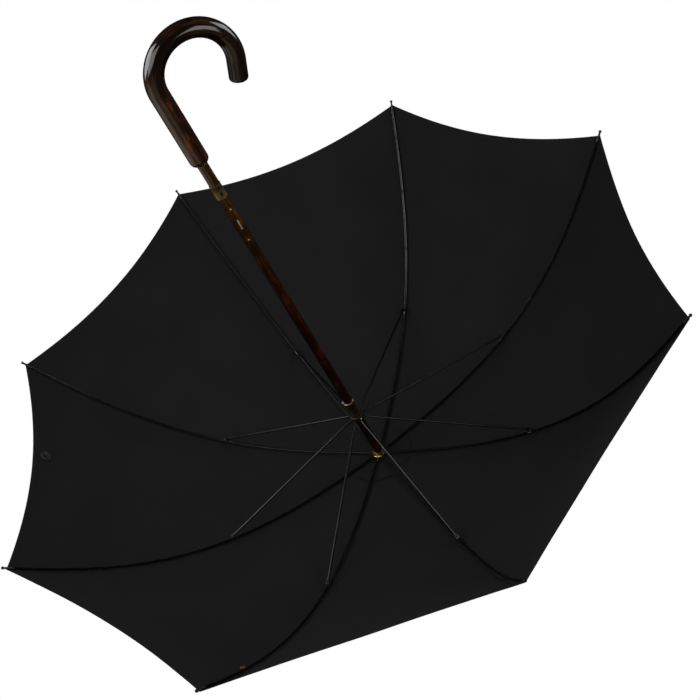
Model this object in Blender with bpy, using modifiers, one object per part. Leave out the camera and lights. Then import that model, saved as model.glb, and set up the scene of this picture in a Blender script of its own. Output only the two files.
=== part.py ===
"""Stick umbrella, standing open: crook handle below, canopy above, shaft along Z.

The origin is on the shaft's axis in the middle of the straight hand grip. The crook bends towards +X, and
rib 1 lies over it. Each rib has two stiff lengths, hinged just outside the stretcher's joint, which stand
for the spring steel rib that bends there when the canopy is open and lies straight when it is closed.
"""
import math

import bmesh
import bpy
from mathutils import Matrix, Vector

# Driving dimensions, in metres and degrees.
RIBS = 8
GAP = 0.0003              # clearance between separate pieces
CROWN_Z = 0.680           # rib pivots above the hand grip
PIVOT_RADIUS = 0.0095     # rib and stretcher pivots from the shaft's axis
RIB_LENGTH = 0.625        # along the bent rib, from its pivot to the canopy's corner
ROOT_SLOPE = 2.7          # fall of the open rib at its pivot, in degrees below level
TIP_SLOPE = 52.4          # fall of the open rib at its tip
JOINT_AT = 0.265          # stretcher joint, along the rib
JOINT_DROP = 0.0060       # stretcher pin below the rib's middle line
FLEX_AT = 0.278           # hinge that stands for the rib's bending, along the rib
FLEX_GAP = 0.0006         # half the space between the rib's two lengths
RIB_RADIUS = 0.0016
STRETCHER_RADIUS = 0.0014
TONGUE = 0.0015           # thickness of the flattened ends in the crown's and runner's slots
TONGUE_LENGTH = 0.0056    # flattened end, long enough to clear the slotted ring
EYE_RADIUS = 0.0013
EYE_HOLE = 0.0008
WIRE_RADIUS = 0.0004      # ring of wire that the eyes turn on
TAB_THICKNESS = 0.0012    # rib's tab in the stretcher's fork
TAB_HALF_LENGTH = 0.0017
TAB_DROP = 0.0016         # tab's edge below its pin
RIVET_RADIUS = 0.0005
FORK_HALF_WIDTH = 0.0021
CLOSED_ANGLE = 2.0        # closed rib's lean from the shaft, in degrees
SHAFT_RADIUS = 0.0073
HANDLE_TOP = 0.0437       # where the shaft leaves the handle
GRIP_RADIUS = 0.0130
NOSE_RADIUS = 0.0122
CROOK_RADIUS = 0.0533     # middle line of the bend
CROOK_CENTRE_Z = -0.0655
CROOK_SWEEP = 199.5       # degrees
NOSE_LENGTH = 0.0285      # straight end after the bend
SLEEVE_LENGTH = 0.0396    # runner, from the stretcher pivots down to its rim
SLEEVE_RADIUS = 0.0084
SLEEVE_LIP = 0.0095       # rolled rim
SLOTTED_RADIUS = 0.0114   # crown, and the runner's ring of slots
BAND_Z = (0.0808, 0.1025)
TOP_SPRING_AZIMUTH = 180.0
BOTTOM_SPRING_AZIMUTH = 90.0
BOTTOM_CATCH_Z = 0.1197   # step of the bottom spring, which holds the closed runner
SPRING_LENGTH = 0.040
SPRING_WIDTH = 0.0016
SPRING_PROUD = 0.0100     # catch's reach from the shaft's axis
SPRING_SLOT_FLOOR = 0.0020
FERRULE_TOP_Z = CROWN_Z + 0.078
CANOPY_LIFT = 0.0037      # underside of the cloth above the rib's middle line
CANOPY_THICKNESS = 0.0008
HEM_CUT = 0.026           # how far the hem curves in between two ribs, along the rib
GORE_SAG = 0.007          # slack of the cloth between two ribs, at its deepest
ROSETTE_RADIUS = 0.058
STRAP_LENGTH = 0.086      # tie strap, from its sewn end to its snap
STRAP_WIDTH = 0.010
STRAP_THICKNESS = 0.0009
STRAP_DROP = 0.0030       # under the rib's middle line
STRAP_FROM_TIP = 0.022    # sewn end, short of the rib's tip

# Materials: colour, roughness, metallic.
FINISHES = {
    "stained_wood": ((0.045, 0.016, 0.009, 1), 0.18, 0.0),
    "lacquered_wood": ((0.085, 0.028, 0.014, 1), 0.22, 0.0),
    "brass": ((0.80, 0.56, 0.22, 1), 0.25, 1.0),
    "black_steel": ((0.03, 0.03, 0.032, 1), 0.30, 0.9),
    "black_metal": ((0.02, 0.02, 0.021, 1), 0.40, 0.6),
    "black_cloth": ((0.011, 0.011, 0.012, 1), 0.85, 0.0),
}


# Geometry of the frame ----------------------------------------------------------------------------


def rib_slope(along):
    """Fall of the open rib, in radians: it bends most in the middle and is straight at both ends."""
    share = along / RIB_LENGTH
    bend = share * share * (3 - 2 * share)
    return math.radians(ROOT_SLOPE + (TIP_SLOPE - ROOT_SLOPE) * bend)


def rib_point(along, lift=0.0, steps=48):
    """(radius, height) on the open rib at a length along it, lifted square to the rib."""
    radius, height, step = PIVOT_RADIUS, CROWN_Z, along / steps
    for i in range(steps):
        slope = rib_slope((i + 0.5) * step)
        radius += math.cos(slope) * step
        height -= math.sin(slope) * step
    slope = rib_slope(along)
    return radius + lift * math.sin(slope), height + lift * math.cos(slope)


def in_plane(radius, height):
    """A point in the plane of rib 1."""
    return Vector((radius, 0, height))


CROWN_PIVOT = in_plane(PIVOT_RADIUS, CROWN_Z)
JOINT_PIVOT = in_plane(*rib_point(JOINT_AT, -JOINT_DROP))
FLEX_PIVOT = in_plane(*rib_point(FLEX_AT))
# The stretcher is as long as the rib's inner length, so the runner stays on the shaft's axis.
RUNNER_Z = 2 * JOINT_PIVOT.z - CROWN_Z
RUNNER_PIVOT = in_plane(PIVOT_RADIUS, RUNNER_Z)
RUNNER_RIM_Z = RUNNER_Z - SLEEVE_LENGTH


def azimuth(rib):
    return 2 * math.pi * rib / RIBS


# Scene helpers ----------------------------------------------------------------------------


def new_collection(name):
    collection = bpy.data.collections.new(name)
    bpy.context.scene.collection.children.link(collection)
    return collection


for old in list(bpy.data.objects):
    bpy.data.objects.remove(old, do_unlink=True)
UMBRELLA = new_collection("stick_umbrella")
CUTTERS = new_collection("cutters")


def new_material(name):
    colour, roughness, metallic = FINISHES[name]
    material = bpy.data.materials.new(name)
    material.use_nodes = True
    shader = material.node_tree.nodes["Principled BSDF"]
    shader.inputs["Base Color"].default_value = colour
    shader.inputs["Roughness"].default_value = roughness
    shader.inputs["Metallic"].default_value = metallic
    return material


MATERIALS = {name: new_material(name) for name in FINISHES}


def add_object(name, data, collection=UMBRELLA):
    obj = bpy.data.objects.new(name, data)
    collection.objects.link(obj)
    return obj


def dress(obj, finish):
    obj.data.materials.clear()
    obj.data.materials.append(MATERIALS[finish])
    return obj


def mesh_from(bm, name):
    mesh = bpy.data.meshes.new(name)
    bm.to_mesh(mesh)
    bm.free()
    return mesh


def as_cutter(obj):
    obj.hide_render = True
    obj.display_type = "WIRE"
    return obj


def box(name, low, high, collection=CUTTERS):
    bm = bmesh.new()
    bmesh.ops.create_cube(bm, size=1)
    low, high = Vector(low), Vector(high)
    bmesh.ops.scale(bm, vec=high - low, verts=bm.verts)
    bmesh.ops.translate(bm, vec=(low + high) / 2, verts=bm.verts)
    return add_object(name, mesh_from(bm, name), collection)


def pin(name, centre, radius, width, collection=CUTTERS, sides=14):
    """A cylinder across the rib's plane, along Y."""
    bm = bmesh.new()
    bmesh.ops.create_cone(
        bm, cap_ends=True, segments=sides, radius1=radius, radius2=radius, depth=width,
        matrix=Matrix.Translation(centre) @ Matrix.Rotation(math.pi / 2, 4, "X"),
    )
    return add_object(name, mesh_from(bm, name), collection)


def boolean(obj, other, operation):
    modifier = obj.modifiers.new(other.name, "BOOLEAN")
    modifier.operation = operation
    modifier.solver = "EXACT"
    modifier.object = as_cutter(other)
    return obj


def smooth_mesh(obj, angle=35):
    """The object's evaluated mesh in world space, welded and shaded smooth."""
    bpy.context.view_layer.update()
    evaluated = obj.evaluated_get(bpy.context.evaluated_depsgraph_get())
    mesh = bpy.data.meshes.new_from_object(evaluated)
    mesh.transform(obj.matrix_world)
    bm = bmesh.new()
    bm.from_mesh(mesh)
    bmesh.ops.remove_doubles(bm, verts=bm.verts, dist=0.000002)
    bmesh.ops.recalc_face_normals(bm, faces=bm.faces)
    bm.to_mesh(mesh)
    bm.free()
    mesh.shade_smooth()
    mesh.set_sharp_from_angle(angle=math.radians(angle))
    return mesh


def settle(obj, *helpers):
    """Replaces an object by its finished mesh, and removes what it was made with."""
    mesh = smooth_mesh(obj)
    for used in (obj, *helpers):
        bpy.data.objects.remove(used, do_unlink=True)
    return mesh


def tube(name, points, radii, sides=2):
    """A round bar through points, with its ends closed."""
    curve = bpy.data.curves.new(name, "CURVE")
    curve.dimensions = "3D"
    curve.bevel_depth = 1.0
    curve.bevel_resolution = sides
    curve.use_fill_caps = True
    spline = curve.splines.new("POLY")
    spline.points.add(len(points) - 1)
    for point, co, radius in zip(spline.points, points, radii, strict=True):
        point.co = (*co, 1)
        point.radius = radius
    obj = add_object(name, curve, CUTTERS)
    return add_object(name, settle(obj), CUTTERS)


def turned(name, profile, finish, steps=24):
    """A closed outline of (radius, height) turned about Z; its outer side runs from top to bottom."""
    mesh = bpy.data.meshes.new(name)
    points = [(radius, 0, height) for radius, height in profile]
    count = len(points)
    mesh.from_pydata(points, [(i, (i + 1) % count) for i in range(count)], [])
    obj = add_object(name, mesh)
    screw = obj.modifiers.new("turn", "SCREW")
    screw.steps = screw.render_steps = steps
    screw.merge_threshold = 0.00001
    screw.use_merge_vertices = True
    return dress(obj, finish)


def finish_in_place(obj, finish, *helpers):
    """Turns a modelled object into a plain mesh object of the same name."""
    name = obj.name
    mesh = settle(obj, *helpers)
    return dress(add_object(name, mesh), finish)


def around(name, mesh, pivot, finish):
    """One copy of a mesh for each rib, each with its origin on its joint's pivot."""
    mesh.transform(Matrix.Translation(-pivot))
    for rib in range(RIBS):
        turn = Matrix.Rotation(azimuth(rib), 4, "Z")
        obj = add_object(f"{name}_{rib + 1}", mesh)
        obj.matrix_world = turn @ Matrix.Translation(pivot)
        dress(obj, finish)


# Ribs and stretchers ----------------------------------------------------------------------------


def add_eye(bar, pivot, direction, plate=TONGUE):
    """Joins a flat tongue with an eye to a bar's end: pivot is the eye, direction points into the bar."""
    reach = direction.normalized() * (TONGUE_LENGTH + 0.0012)
    bm = bmesh.new()
    bmesh.ops.create_cube(bm, size=1)
    size = (reach.length, plate, 2 * EYE_RADIUS)
    bmesh.ops.scale(bm, vec=size, verts=bm.verts)
    angle = math.atan2(-reach.z, reach.x)
    place = Matrix.Translation(pivot + reach / 2) @ Matrix.Rotation(angle, 4, "Y")
    bmesh.ops.transform(bm, matrix=place, verts=bm.verts)
    tongue = add_object("tongue", mesh_from(bm, "tongue"), CUTTERS)
    eye = pin("eye", pivot, EYE_RADIUS, plate * 0.95)
    hole = pin("hole", pivot, EYE_HOLE, 3 * plate)
    boolean(bar, tongue, "UNION")
    boolean(bar, eye, "UNION")
    boolean(bar, hole, "DIFFERENCE")
    return [tongue, eye, hole]


def rib_span(start, end, count):
    return [in_plane(*rib_point(start + (end - start) * i / (count - 1))) for i in range(count)]


def make_inner_ribs():
    """Crown to just past the stretcher joint, with the tab that the stretcher's fork holds."""
    path = rib_span(TONGUE_LENGTH, FLEX_AT - FLEX_GAP, 8)
    bar = tube("rib_inner", path, [RIB_RADIUS] * len(path))
    helpers = add_eye(bar, CROWN_PIVOT, path[0] - CROWN_PIVOT)
    top = rib_point(JOINT_AT)[1]
    tab = box(
        "tab",
        (JOINT_PIVOT.x - TAB_HALF_LENGTH, -TAB_THICKNESS / 2, JOINT_PIVOT.z - TAB_DROP),
        (JOINT_PIVOT.x + TAB_HALF_LENGTH, TAB_THICKNESS / 2, top),
    )
    hole = pin("pin_hole", JOINT_PIVOT, RIVET_RADIUS + GAP, 2 * FORK_HALF_WIDTH)
    boolean(bar, tab, "UNION")
    boolean(bar, hole, "DIFFERENCE")
    around("rib_inner", settle(bar, *helpers, tab, hole), CROWN_PIVOT, "black_steel")


def make_outer_ribs():
    path = rib_span(FLEX_AT + FLEX_GAP, RIB_LENGTH - 0.0105, 8)
    bar = tube("rib_outer", path, [RIB_RADIUS * (1 - 0.2 * i / 7) for i in range(8)])
    around("rib_outer", settle(bar), FLEX_PIVOT, "black_steel")


def make_stretchers():
    """Straight struts from the runner to the ribs, forked over the rib's tab."""
    along = (RUNNER_PIVOT - JOINT_PIVOT).normalized()
    length = (RUNNER_PIVOT - JOINT_PIVOT).length
    fork_end = 0.0068
    ends = (JOINT_PIVOT + along * (fork_end - 0.0013), JOINT_PIVOT + along * (length - TONGUE_LENGTH))
    bar = tube("stretcher", ends, [STRETCHER_RADIUS] * 2)
    helpers = add_eye(bar, RUNNER_PIVOT, -along)
    turn = Matrix.Rotation(math.atan2(-along.z, along.x), 4, "Y")
    place = Matrix.Translation(JOINT_PIVOT) @ turn
    slot_half = TAB_THICKNESS / 2 + GAP
    fork = box("fork", (-0.0016, -FORK_HALF_WIDTH, -0.0016), (fork_end, FORK_HALF_WIDTH, 0.0016))
    slot = box("slot", (-0.0030, -slot_half, -0.0030), (0.0045, slot_half, 0.0030))
    for block in (fork, slot):
        block.matrix_world = place
    boolean(fork, slot, "DIFFERENCE")
    boolean(bar, fork, "UNION")
    rivet = pin("rivet", JOINT_PIVOT, RIVET_RADIUS, 2 * FORK_HALF_WIDTH - 0.0001)
    boolean(bar, rivet, "UNION")
    around("stretcher", settle(bar, *helpers, fork, slot, rivet), JOINT_PIVOT, "black_steel")


def make_rib_tips():
    """Metal cups on the ribs' ends, each with a ball."""
    start, end = rib_point(RIB_LENGTH - 0.0100), rib_point(RIB_LENGTH + 0.0085)
    a, b = in_plane(*start), in_plane(*end)
    shares = (0, 0.08, 0.45, 0.60, 0.68, 0.80, 0.92, 0.985, 1)
    radii = (0.0016, 0.0020, 0.0018, 0.0013, 0.0020, 0.0024, 0.0020, 0.0010, 0.0004)
    bar = tube("rib_tip", [a.lerp(b, share) for share in shares], radii)
    around("rib_tip", settle(bar), FLEX_PIVOT, "black_metal")


# Canopy ----------------------------------------------------------------------------


def cloth_lift(along):
    """The cloth rises over the crown in the middle."""
    return CANOPY_LIFT + 0.0028 * math.exp(-along / 0.012)


def cloth_point(along, across):
    """On the underside of the open canopy: across is 0 on the rib and 1 half way to the next one."""
    share = abs(across) / 2
    radius, height = rib_point(along, cloth_lift(along), 24)
    near = Vector((radius, 0, height))
    far = Matrix.Rotation(math.copysign(azimuth(1), across), 3, "Z") @ near
    slack = GORE_SAG * 4 * share * (1 - share) * math.sin(math.pi * min(1, along / RIB_LENGTH)) ** 2
    down = Vector((-math.sin(rib_slope(along)), 0, -math.cos(rib_slope(along)))) * slack
    far_down = Matrix.Rotation(math.copysign(azimuth(1), across), 3, "Z") @ down
    return near.lerp(far, share) + down.lerp(far_down, share)


def hem_at(across):
    share = abs(across) / 2
    return RIB_LENGTH - HEM_CUT * 4 * share * (1 - share)


def seam_at(across):
    """Length along the rib where the cloth crosses the rib's hinge line, square to the rib."""
    share = abs(across) / 2
    target = FLEX_PIVOT.x / (1 - share * (1 - math.cos(azimuth(1))))
    low, high = 0.0, RIB_LENGTH
    for _ in range(40):
        middle = (low + high) / 2
        low, high = (middle, high) if rib_point(middle, 0, 24)[0] < target else (low, middle)
    return low


def panel(name, start, end, rows, columns=6):
    """A thin shell over one rib, from start(across) to end(across) along it, just clear of its neighbours."""
    bm = bmesh.new()
    grid = []
    for i in range(rows + 1):
        row = []
        for j in range(columns + 1):
            across = 2 * j / columns - 1
            along = start(across) + (end(across) - start(across)) * i / rows
            half_width = rib_point(along, 0, 24)[0] * math.sin(azimuth(0.5))
            row.append(bm.verts.new(cloth_point(along, across * (1 - 1.3 * GAP / half_width))))
        grid.append(row)
    for i in range(rows):
        for j in range(columns):
            bm.faces.new((grid[i][j], grid[i + 1][j], grid[i + 1][j + 1], grid[i][j + 1]))
    bm.normal_update()
    obj = add_object(name, mesh_from(bm, name), CUTTERS)
    shell = obj.modifiers.new("cloth", "SOLIDIFY")
    shell.thickness = CANOPY_THICKNESS
    shell.offset = 1
    return settle(obj)


def make_canopy():
    """Eight sectors, each over one rib, split where the rib bends."""
    inner = panel("canopy_inner", lambda across: 0.0, lambda across: seam_at(across) - GAP, 5)
    around("canopy_inner", inner, CROWN_PIVOT, "black_cloth")
    outer = panel("canopy_outer", lambda across: seam_at(across) + GAP, hem_at, 6)
    around("canopy_outer", outer, FLEX_PIVOT, "black_cloth")


def make_rosette():
    """Cloth disc between the ribs and the canopy, round the crown."""
    lengths = [ROSETTE_RADIUS * i / 3 for i in range(4)]

    def line(extra):
        points = []
        for along in lengths:
            lift = cloth_lift(along) - 0.0018 + extra
            radius, height = rib_point(along, lift, 12)
            points.append((radius, height))
        return points

    turned("rosette", line(0.0004) + line(0)[::-1], "black_cloth")


def make_tie_strap():
    """Band that wraps the furled canopy, lying along the underside of rib 4 near its tip."""
    end = RIB_LENGTH - STRAP_FROM_TIP
    start = end - STRAP_LENGTH
    rows = 6
    bm = bmesh.new()
    rails = []
    for i in range(rows + 1):
        radius, height = rib_point(start + STRAP_LENGTH * i / rows, -STRAP_DROP)
        rails.append([bm.verts.new((radius, side * STRAP_WIDTH / 2, height)) for side in (-1, 1)])
    for a, b in zip(rails[:-1], rails[1:]):
        bm.faces.new((a[0], b[0], b[1], a[1]))
    bm.normal_update()
    obj = add_object("strap_sheet", mesh_from(bm, "strap_sheet"), CUTTERS)
    shell = obj.modifiers.new("cloth", "SOLIDIFY")
    shell.thickness = STRAP_THICKNESS
    shell.offset = -1
    mesh = settle(obj)
    pivot = in_plane(*rib_point(end, -STRAP_DROP))
    mesh.transform(Matrix.Translation(-pivot))
    strap = add_object("tie_strap", mesh)
    strap.matrix_world = Matrix.Rotation(azimuth(3), 4, "Z") @ Matrix.Translation(pivot)
    dress(strap, "black_cloth")


# Shaft, crown and runner ----------------------------------------------------------------------------


def ring_with_slots(name, bottom, top, pivot_z, slots_up, finish):
    """A turned ring with a slot for each eye and a ring of wire through the slots."""
    outer, bore, bevel = SLOTTED_RADIUS, SHAFT_RADIUS + GAP, 0.0008
    ring = turned(
        name,
        [(bore, top), (outer - bevel, top), (outer, top - bevel), (outer, bottom + bevel),
         (outer - bevel, bottom), (bore, bottom)],
        finish,
    )
    helpers = []
    for rib in range(RIBS):
        low = pivot_z - (0.0022 if slots_up else 0.02)
        high = pivot_z + (0.02 if slots_up else 0.0022)
        cut = box(f"slot_{rib}", (0.0079, -TONGUE / 2 - GAP, low), (0.02, TONGUE / 2 + GAP, high))
        cut.rotation_euler.z = azimuth(rib)
        boolean(ring, cut, "DIFFERENCE")
        helpers.append(cut)
    bm = bmesh.new()
    wire_profile = bmesh.ops.create_circle(bm, segments=6, radius=WIRE_RADIUS)
    place = Matrix.Translation((PIVOT_RADIUS, 0, pivot_z)) @ Matrix.Rotation(math.pi / 2, 4, "X")
    bmesh.ops.transform(bm, matrix=place, verts=wire_profile["verts"])
    wire = add_object("wire", mesh_from(bm, "wire"), CUTTERS)
    screw = wire.modifiers.new("turn", "SCREW")
    screw.steps = screw.render_steps = 24
    screw.merge_threshold = 0.00001
    screw.use_merge_vertices = True
    wire_solid = add_object("wire_solid", settle(wire), CUTTERS)
    boolean(ring, wire_solid, "UNION")
    return finish_in_place(ring, finish, *helpers, wire_solid)


def make_crown():
    ring_with_slots("crown", CROWN_Z - 0.0040, CROWN_Z + 0.0038, CROWN_Z, False, "brass")


def make_runner():
    """Brass sleeve with a rolled rim, and the slotted ring above it that holds the stretchers."""
    ring_with_slots("runner_notch", RUNNER_Z - 0.0060, RUNNER_Z + 0.0035, RUNNER_Z, True, "black_metal")
    bore, wall, lip = SHAFT_RADIUS + GAP, SLEEVE_RADIUS, SLEEVE_LIP
    top, rim = RUNNER_Z - 0.0063, RUNNER_RIM_Z
    roll = [
        (wall + (lip - wall) * math.sin(math.pi * i / 6), rim + 0.0022 * (1 - i / 6)) for i in range(1, 6)
    ]
    sleeve = turned("runner_sleeve", [(bore, top), (wall, top), (wall, rim + 0.0022), *roll,
                                      (wall, rim), (bore, rim)], "brass")
    turn = math.radians(BOTTOM_SPRING_AZIMUTH)
    closed_drop = RUNNER_Z - closed_runner_z()
    window = box(
        "window",
        (0.004, -0.0015, BOTTOM_CATCH_Z + closed_drop - 0.0007),
        (0.014, 0.0015, BOTTOM_CATCH_Z + closed_drop + 0.0115),
    )
    window.rotation_euler.z = turn
    boolean(sleeve, window, "DIFFERENCE")
    finish_in_place(sleeve, "brass", window)


def closed_runner_z():
    reach = (JOINT_PIVOT - CROWN_PIVOT).length
    return CROWN_Z - 2 * reach * math.cos(math.radians(CLOSED_ANGLE))


def spring_outline(step_z, root_z):
    """Side outline of a leaf spring, in (radius, height): root in the shaft, step at the proud end."""
    way = 1 if step_z > root_z else -1
    return [
        (0.0044, root_z), (0.0056, root_z), (SPRING_PROUD, step_z - way * 0.0030),
        (SPRING_PROUD, step_z), (0.0056, step_z), (0.0056, step_z - way * 0.0012),
        (SPRING_PROUD - 0.0016, step_z - way * 0.0016),
    ]


def make_spring(name, step_z, root_z, turn_degrees):
    """A bent strip of steel, set in a slot of the shaft and pressed in by a thumb."""
    curve = bpy.data.curves.new(name, "CURVE")
    curve.dimensions = "2D"
    curve.fill_mode = "BOTH"
    curve.extrude = SPRING_WIDTH / 2
    outline = spring_outline(step_z, root_z)
    spline = curve.splines.new("POLY")
    spline.points.add(len(outline) - 1)
    for point, (radius, height) in zip(spline.points, outline, strict=True):
        point.co = (radius, height, 0, 1)
    spline.use_cyclic_u = True
    sheet = add_object(name, curve, CUTTERS)
    sheet.matrix_world = Matrix.Rotation(math.pi / 2, 4, "X")
    mesh = settle(sheet)
    pivot = in_plane(0.0050, root_z)
    mesh.transform(Matrix.Translation(-pivot))
    spring = add_object(name, mesh)
    spring.matrix_world = Matrix.Rotation(math.radians(turn_degrees), 4, "Z") @ Matrix.Translation(pivot)
    dress(spring, "brass")


TOP_SPRING = (RUNNER_RIM_Z - GAP, RUNNER_RIM_Z - SPRING_LENGTH)
BOTTOM_SPRING = (BOTTOM_CATCH_Z, BOTTOM_CATCH_Z + SPRING_LENGTH)


def make_shaft():
    """Wooden stick with the two spring slots, its lower end in the handle and its upper in the ferrule."""
    top, bottom = CROWN_Z + 0.036, 0.0045
    chamfer = 0.001
    shaft = turned("shaft", [(0, top), (SHAFT_RADIUS - chamfer, top), (SHAFT_RADIUS, top - chamfer),
                             (SHAFT_RADIUS, bottom), (0, bottom)], "lacquered_wood")
    helpers = []
    for name, (step_z, root_z), turn in (
        ("top_slot", TOP_SPRING, TOP_SPRING_AZIMUTH),
        ("bottom_slot", BOTTOM_SPRING, BOTTOM_SPRING_AZIMUTH),
    ):
        low, high = min(step_z, root_z) - 0.001, max(step_z, root_z) + 0.001
        half_width = SPRING_WIDTH / 2 + GAP
        cut = box(name, (SPRING_SLOT_FLOOR, -half_width, low), (0.012, half_width, high))
        cut.rotation_euler.z = math.radians(turn)
        boolean(shaft, cut, "DIFFERENCE")
        helpers.append(cut)
    finish_in_place(shaft, "lacquered_wood", *helpers)


def make_brass_band():
    bore, skin = SHAFT_RADIUS + GAP, SHAFT_RADIUS + GAP + 0.0004
    low, high = BAND_Z
    turned("brass_band", [(bore, high), (skin, high), (skin, low), (bore, low)], "brass")


def make_ferrule():
    """Turned cap over the canopy's middle, drawn up into the spike that the closed umbrella stands on."""
    base = CROWN_Z + 0.0078
    bore_top = CROWN_Z + 0.0375
    bore = SHAFT_RADIUS + GAP
    profile = [
        (0, FERRULE_TOP_Z), (0.0042, FERRULE_TOP_Z), (0.0050, FERRULE_TOP_Z - 0.0010),
        (0.0054, FERRULE_TOP_Z - 0.012), (0.0078, bore_top + 0.006), (0.0092, bore_top - 0.004),
        (0.0092, base + 0.010), (0.0105, base + 0.006), (0.0150, base + 0.0028),
        (0.0165, base + 0.0008), (0.0165, base), (bore, base), (bore, bore_top), (0, bore_top),
    ]
    turned("ferrule", profile, "black_metal")


# Handle ----------------------------------------------------------------------------


def crook_path():
    """Middle line of the handle, from its shoulder round to its nose, with the wood's radius there."""
    points = []
    shoulder, shoulder_radius = 0.006, 0.0092
    for i in range(5):
        turn = math.pi / 2 * i / 4
        height = HANDLE_TOP - 0.001 - shoulder * (1 - math.cos(turn))
        points.append((0, height, shoulder_radius + (GRIP_RADIUS - shoulder_radius) * math.sin(turn)))
    points.append((0, CROOK_CENTRE_Z + 0.020, GRIP_RADIUS))
    sweep, bends = math.radians(CROOK_SWEEP), 18
    for i in range(bends + 1):
        turn = sweep * i / bends
        radius = GRIP_RADIUS + (NOSE_RADIUS - GRIP_RADIUS) * i / bends
        points.append((
            CROOK_RADIUS * (1 - math.cos(turn)),
            CROOK_CENTRE_Z - CROOK_RADIUS * math.sin(turn),
            radius,
        ))
    x, z, _ = points[-1]
    ahead = (math.sin(sweep), -math.cos(sweep))
    dome = 0.0055
    for i in range(6):
        turn = math.pi / 2 * i / 5.4
        reach = NOSE_LENGTH - dome + dome * math.sin(turn)
        points.append((x + ahead[0] * reach, z + ahead[1] * reach, NOSE_RADIUS * math.cos(turn) ** 0.5))
    return points


def make_handle():
    path = crook_path()
    wood = tube("handle", [(x, 0, z) for x, z, _ in path], [radius for *_, radius in path], 4)
    bm = bmesh.new()
    bore_radius, low, high = SHAFT_RADIUS + GAP, 0.0040, HANDLE_TOP + 0.01
    bmesh.ops.create_cone(
        bm, cap_ends=True, segments=32, radius1=bore_radius, radius2=bore_radius, depth=high - low,
        matrix=Matrix.Translation((0, 0, (low + high) / 2)),
    )
    bore = add_object("bore", mesh_from(bm, "bore"), CUTTERS)
    boolean(wood, bore, "DIFFERENCE")
    finish_in_place(wood, "stained_wood", bore)


def make_collar():
    """Thin brass ring where the shaft enters the handle."""
    low, high = HANDLE_TOP - 0.0007, HANDLE_TOP + 0.0011
    bore, skin, bevel = SHAFT_RADIUS + GAP, 0.0089, 0.0004
    profile = [(bore, high), (skin - bevel, high), (skin, high - bevel), (skin, low), (bore, low)]
    turned("handle_collar", profile, "brass")


make_handle()
make_collar()
make_shaft()
make_brass_band()
make_spring("bottom_spring", *BOTTOM_SPRING, BOTTOM_SPRING_AZIMUTH)
make_spring("top_spring", *TOP_SPRING, TOP_SPRING_AZIMUTH)
make_crown()
make_runner()
make_inner_ribs()
make_outer_ribs()
make_stretchers()
make_rib_tips()
make_rosette()
make_canopy()
make_ferrule()
make_tie_strap()
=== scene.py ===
"""Stick umbrella, standing open and seen from below: cloth, wood, brass and black steel.

Every piece is built in rib 1's plane (X outwards, Z up, the canopy's cloth across Y) or on the
shaft's axis, and then turned about Z to its own rib. Lengths along a rib are called "along";
"across" is 0 on a rib and 1 half way to the next one.
"""
import math

import bmesh
import bpy
import numpy as np
from mathutils import Matrix, Vector


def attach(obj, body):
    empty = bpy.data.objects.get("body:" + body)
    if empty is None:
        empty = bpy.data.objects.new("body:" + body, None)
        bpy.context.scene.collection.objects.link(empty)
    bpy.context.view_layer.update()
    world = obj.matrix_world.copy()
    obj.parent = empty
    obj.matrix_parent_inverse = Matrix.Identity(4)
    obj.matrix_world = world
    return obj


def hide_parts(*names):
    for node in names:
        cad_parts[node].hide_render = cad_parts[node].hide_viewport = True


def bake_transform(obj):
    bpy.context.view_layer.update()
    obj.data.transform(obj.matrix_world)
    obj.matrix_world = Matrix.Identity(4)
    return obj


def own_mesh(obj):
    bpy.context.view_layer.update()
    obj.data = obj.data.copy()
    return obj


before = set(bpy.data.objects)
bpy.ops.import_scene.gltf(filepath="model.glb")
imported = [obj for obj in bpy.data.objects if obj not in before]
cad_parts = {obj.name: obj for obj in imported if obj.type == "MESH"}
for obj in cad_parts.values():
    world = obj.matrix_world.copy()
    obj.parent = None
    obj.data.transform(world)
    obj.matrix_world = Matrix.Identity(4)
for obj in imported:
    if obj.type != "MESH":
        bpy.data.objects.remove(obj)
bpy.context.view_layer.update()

# Dimensions of the frame, in metres and degrees.
RIBS = 8
CROWN_Z = 0.680
PIVOT_RADIUS = 0.0095
RIB_LENGTH = 0.625
ROOT_SLOPE, TIP_SLOPE = 2.7, 52.4
JOINT_AT, JOINT_DROP = 0.265, 0.0060
FLEX_AT = 0.278
TONGUE_LENGTH = 0.0056
EYE_THICKNESS = 0.0014
SHAFT_RADIUS = 0.0073
HANDLE_TOP = 0.0437
GRIP_RADIUS, NOSE_RADIUS = 0.0130, 0.0122
CROOK_RADIUS, CROOK_CENTRE_Z, CROOK_SWEEP = 0.0533, -0.0655, 199.5
NOSE_LENGTH, NOSE_DOME = 0.0285, 0.0055
SHOULDER_HEIGHT, SHOULDER_RADIUS = 0.006, 0.0092
SLEEVE_LENGTH = 0.0396
BAND_Z = (0.0808, 0.1025)
TOP_SPRING_AZIMUTH, BOTTOM_SPRING_AZIMUTH = 180.0, 90.0
BOTTOM_CATCH_Z = 0.1197
SPRING_LENGTH, SPRING_PROUD, SPRING_THICKNESS = 0.040, 0.0100, 0.0007
CLOSED_LEAN = 2.0         # of a rib from the shaft when closed
FERRULE_TOP_Z = CROWN_Z + 0.078
CLOTH_LIFT = 0.0041       # cloth above the rib's middle line
HEM_CUT = 0.026
GORE_SAG = 0.007
ROSETTE_RADIUS = 0.058
STRAP_LENGTH, STRAP_WIDTH, STRAP_THICKNESS = 0.086, 0.010, 0.0007
STRAP_FROM_TIP, STRAP_DROP = 0.022, 0.0030
TIES_AT = (0.375, 0.476)
CENTRE_END = 0.05         # of the inner cloth, as the bands' places are
INNER_BANDS = (           # start, end, width kept when closed
    (0.04, 0.09, 0.72), (0.09, 0.15, 0.52), (0.15, 0.25, 0.40), (0.25, 0.40, 0.30),
    (0.40, 0.62, 0.22), (0.62, 1.0, 0.15),
)
GAP = 0.0003
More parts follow.
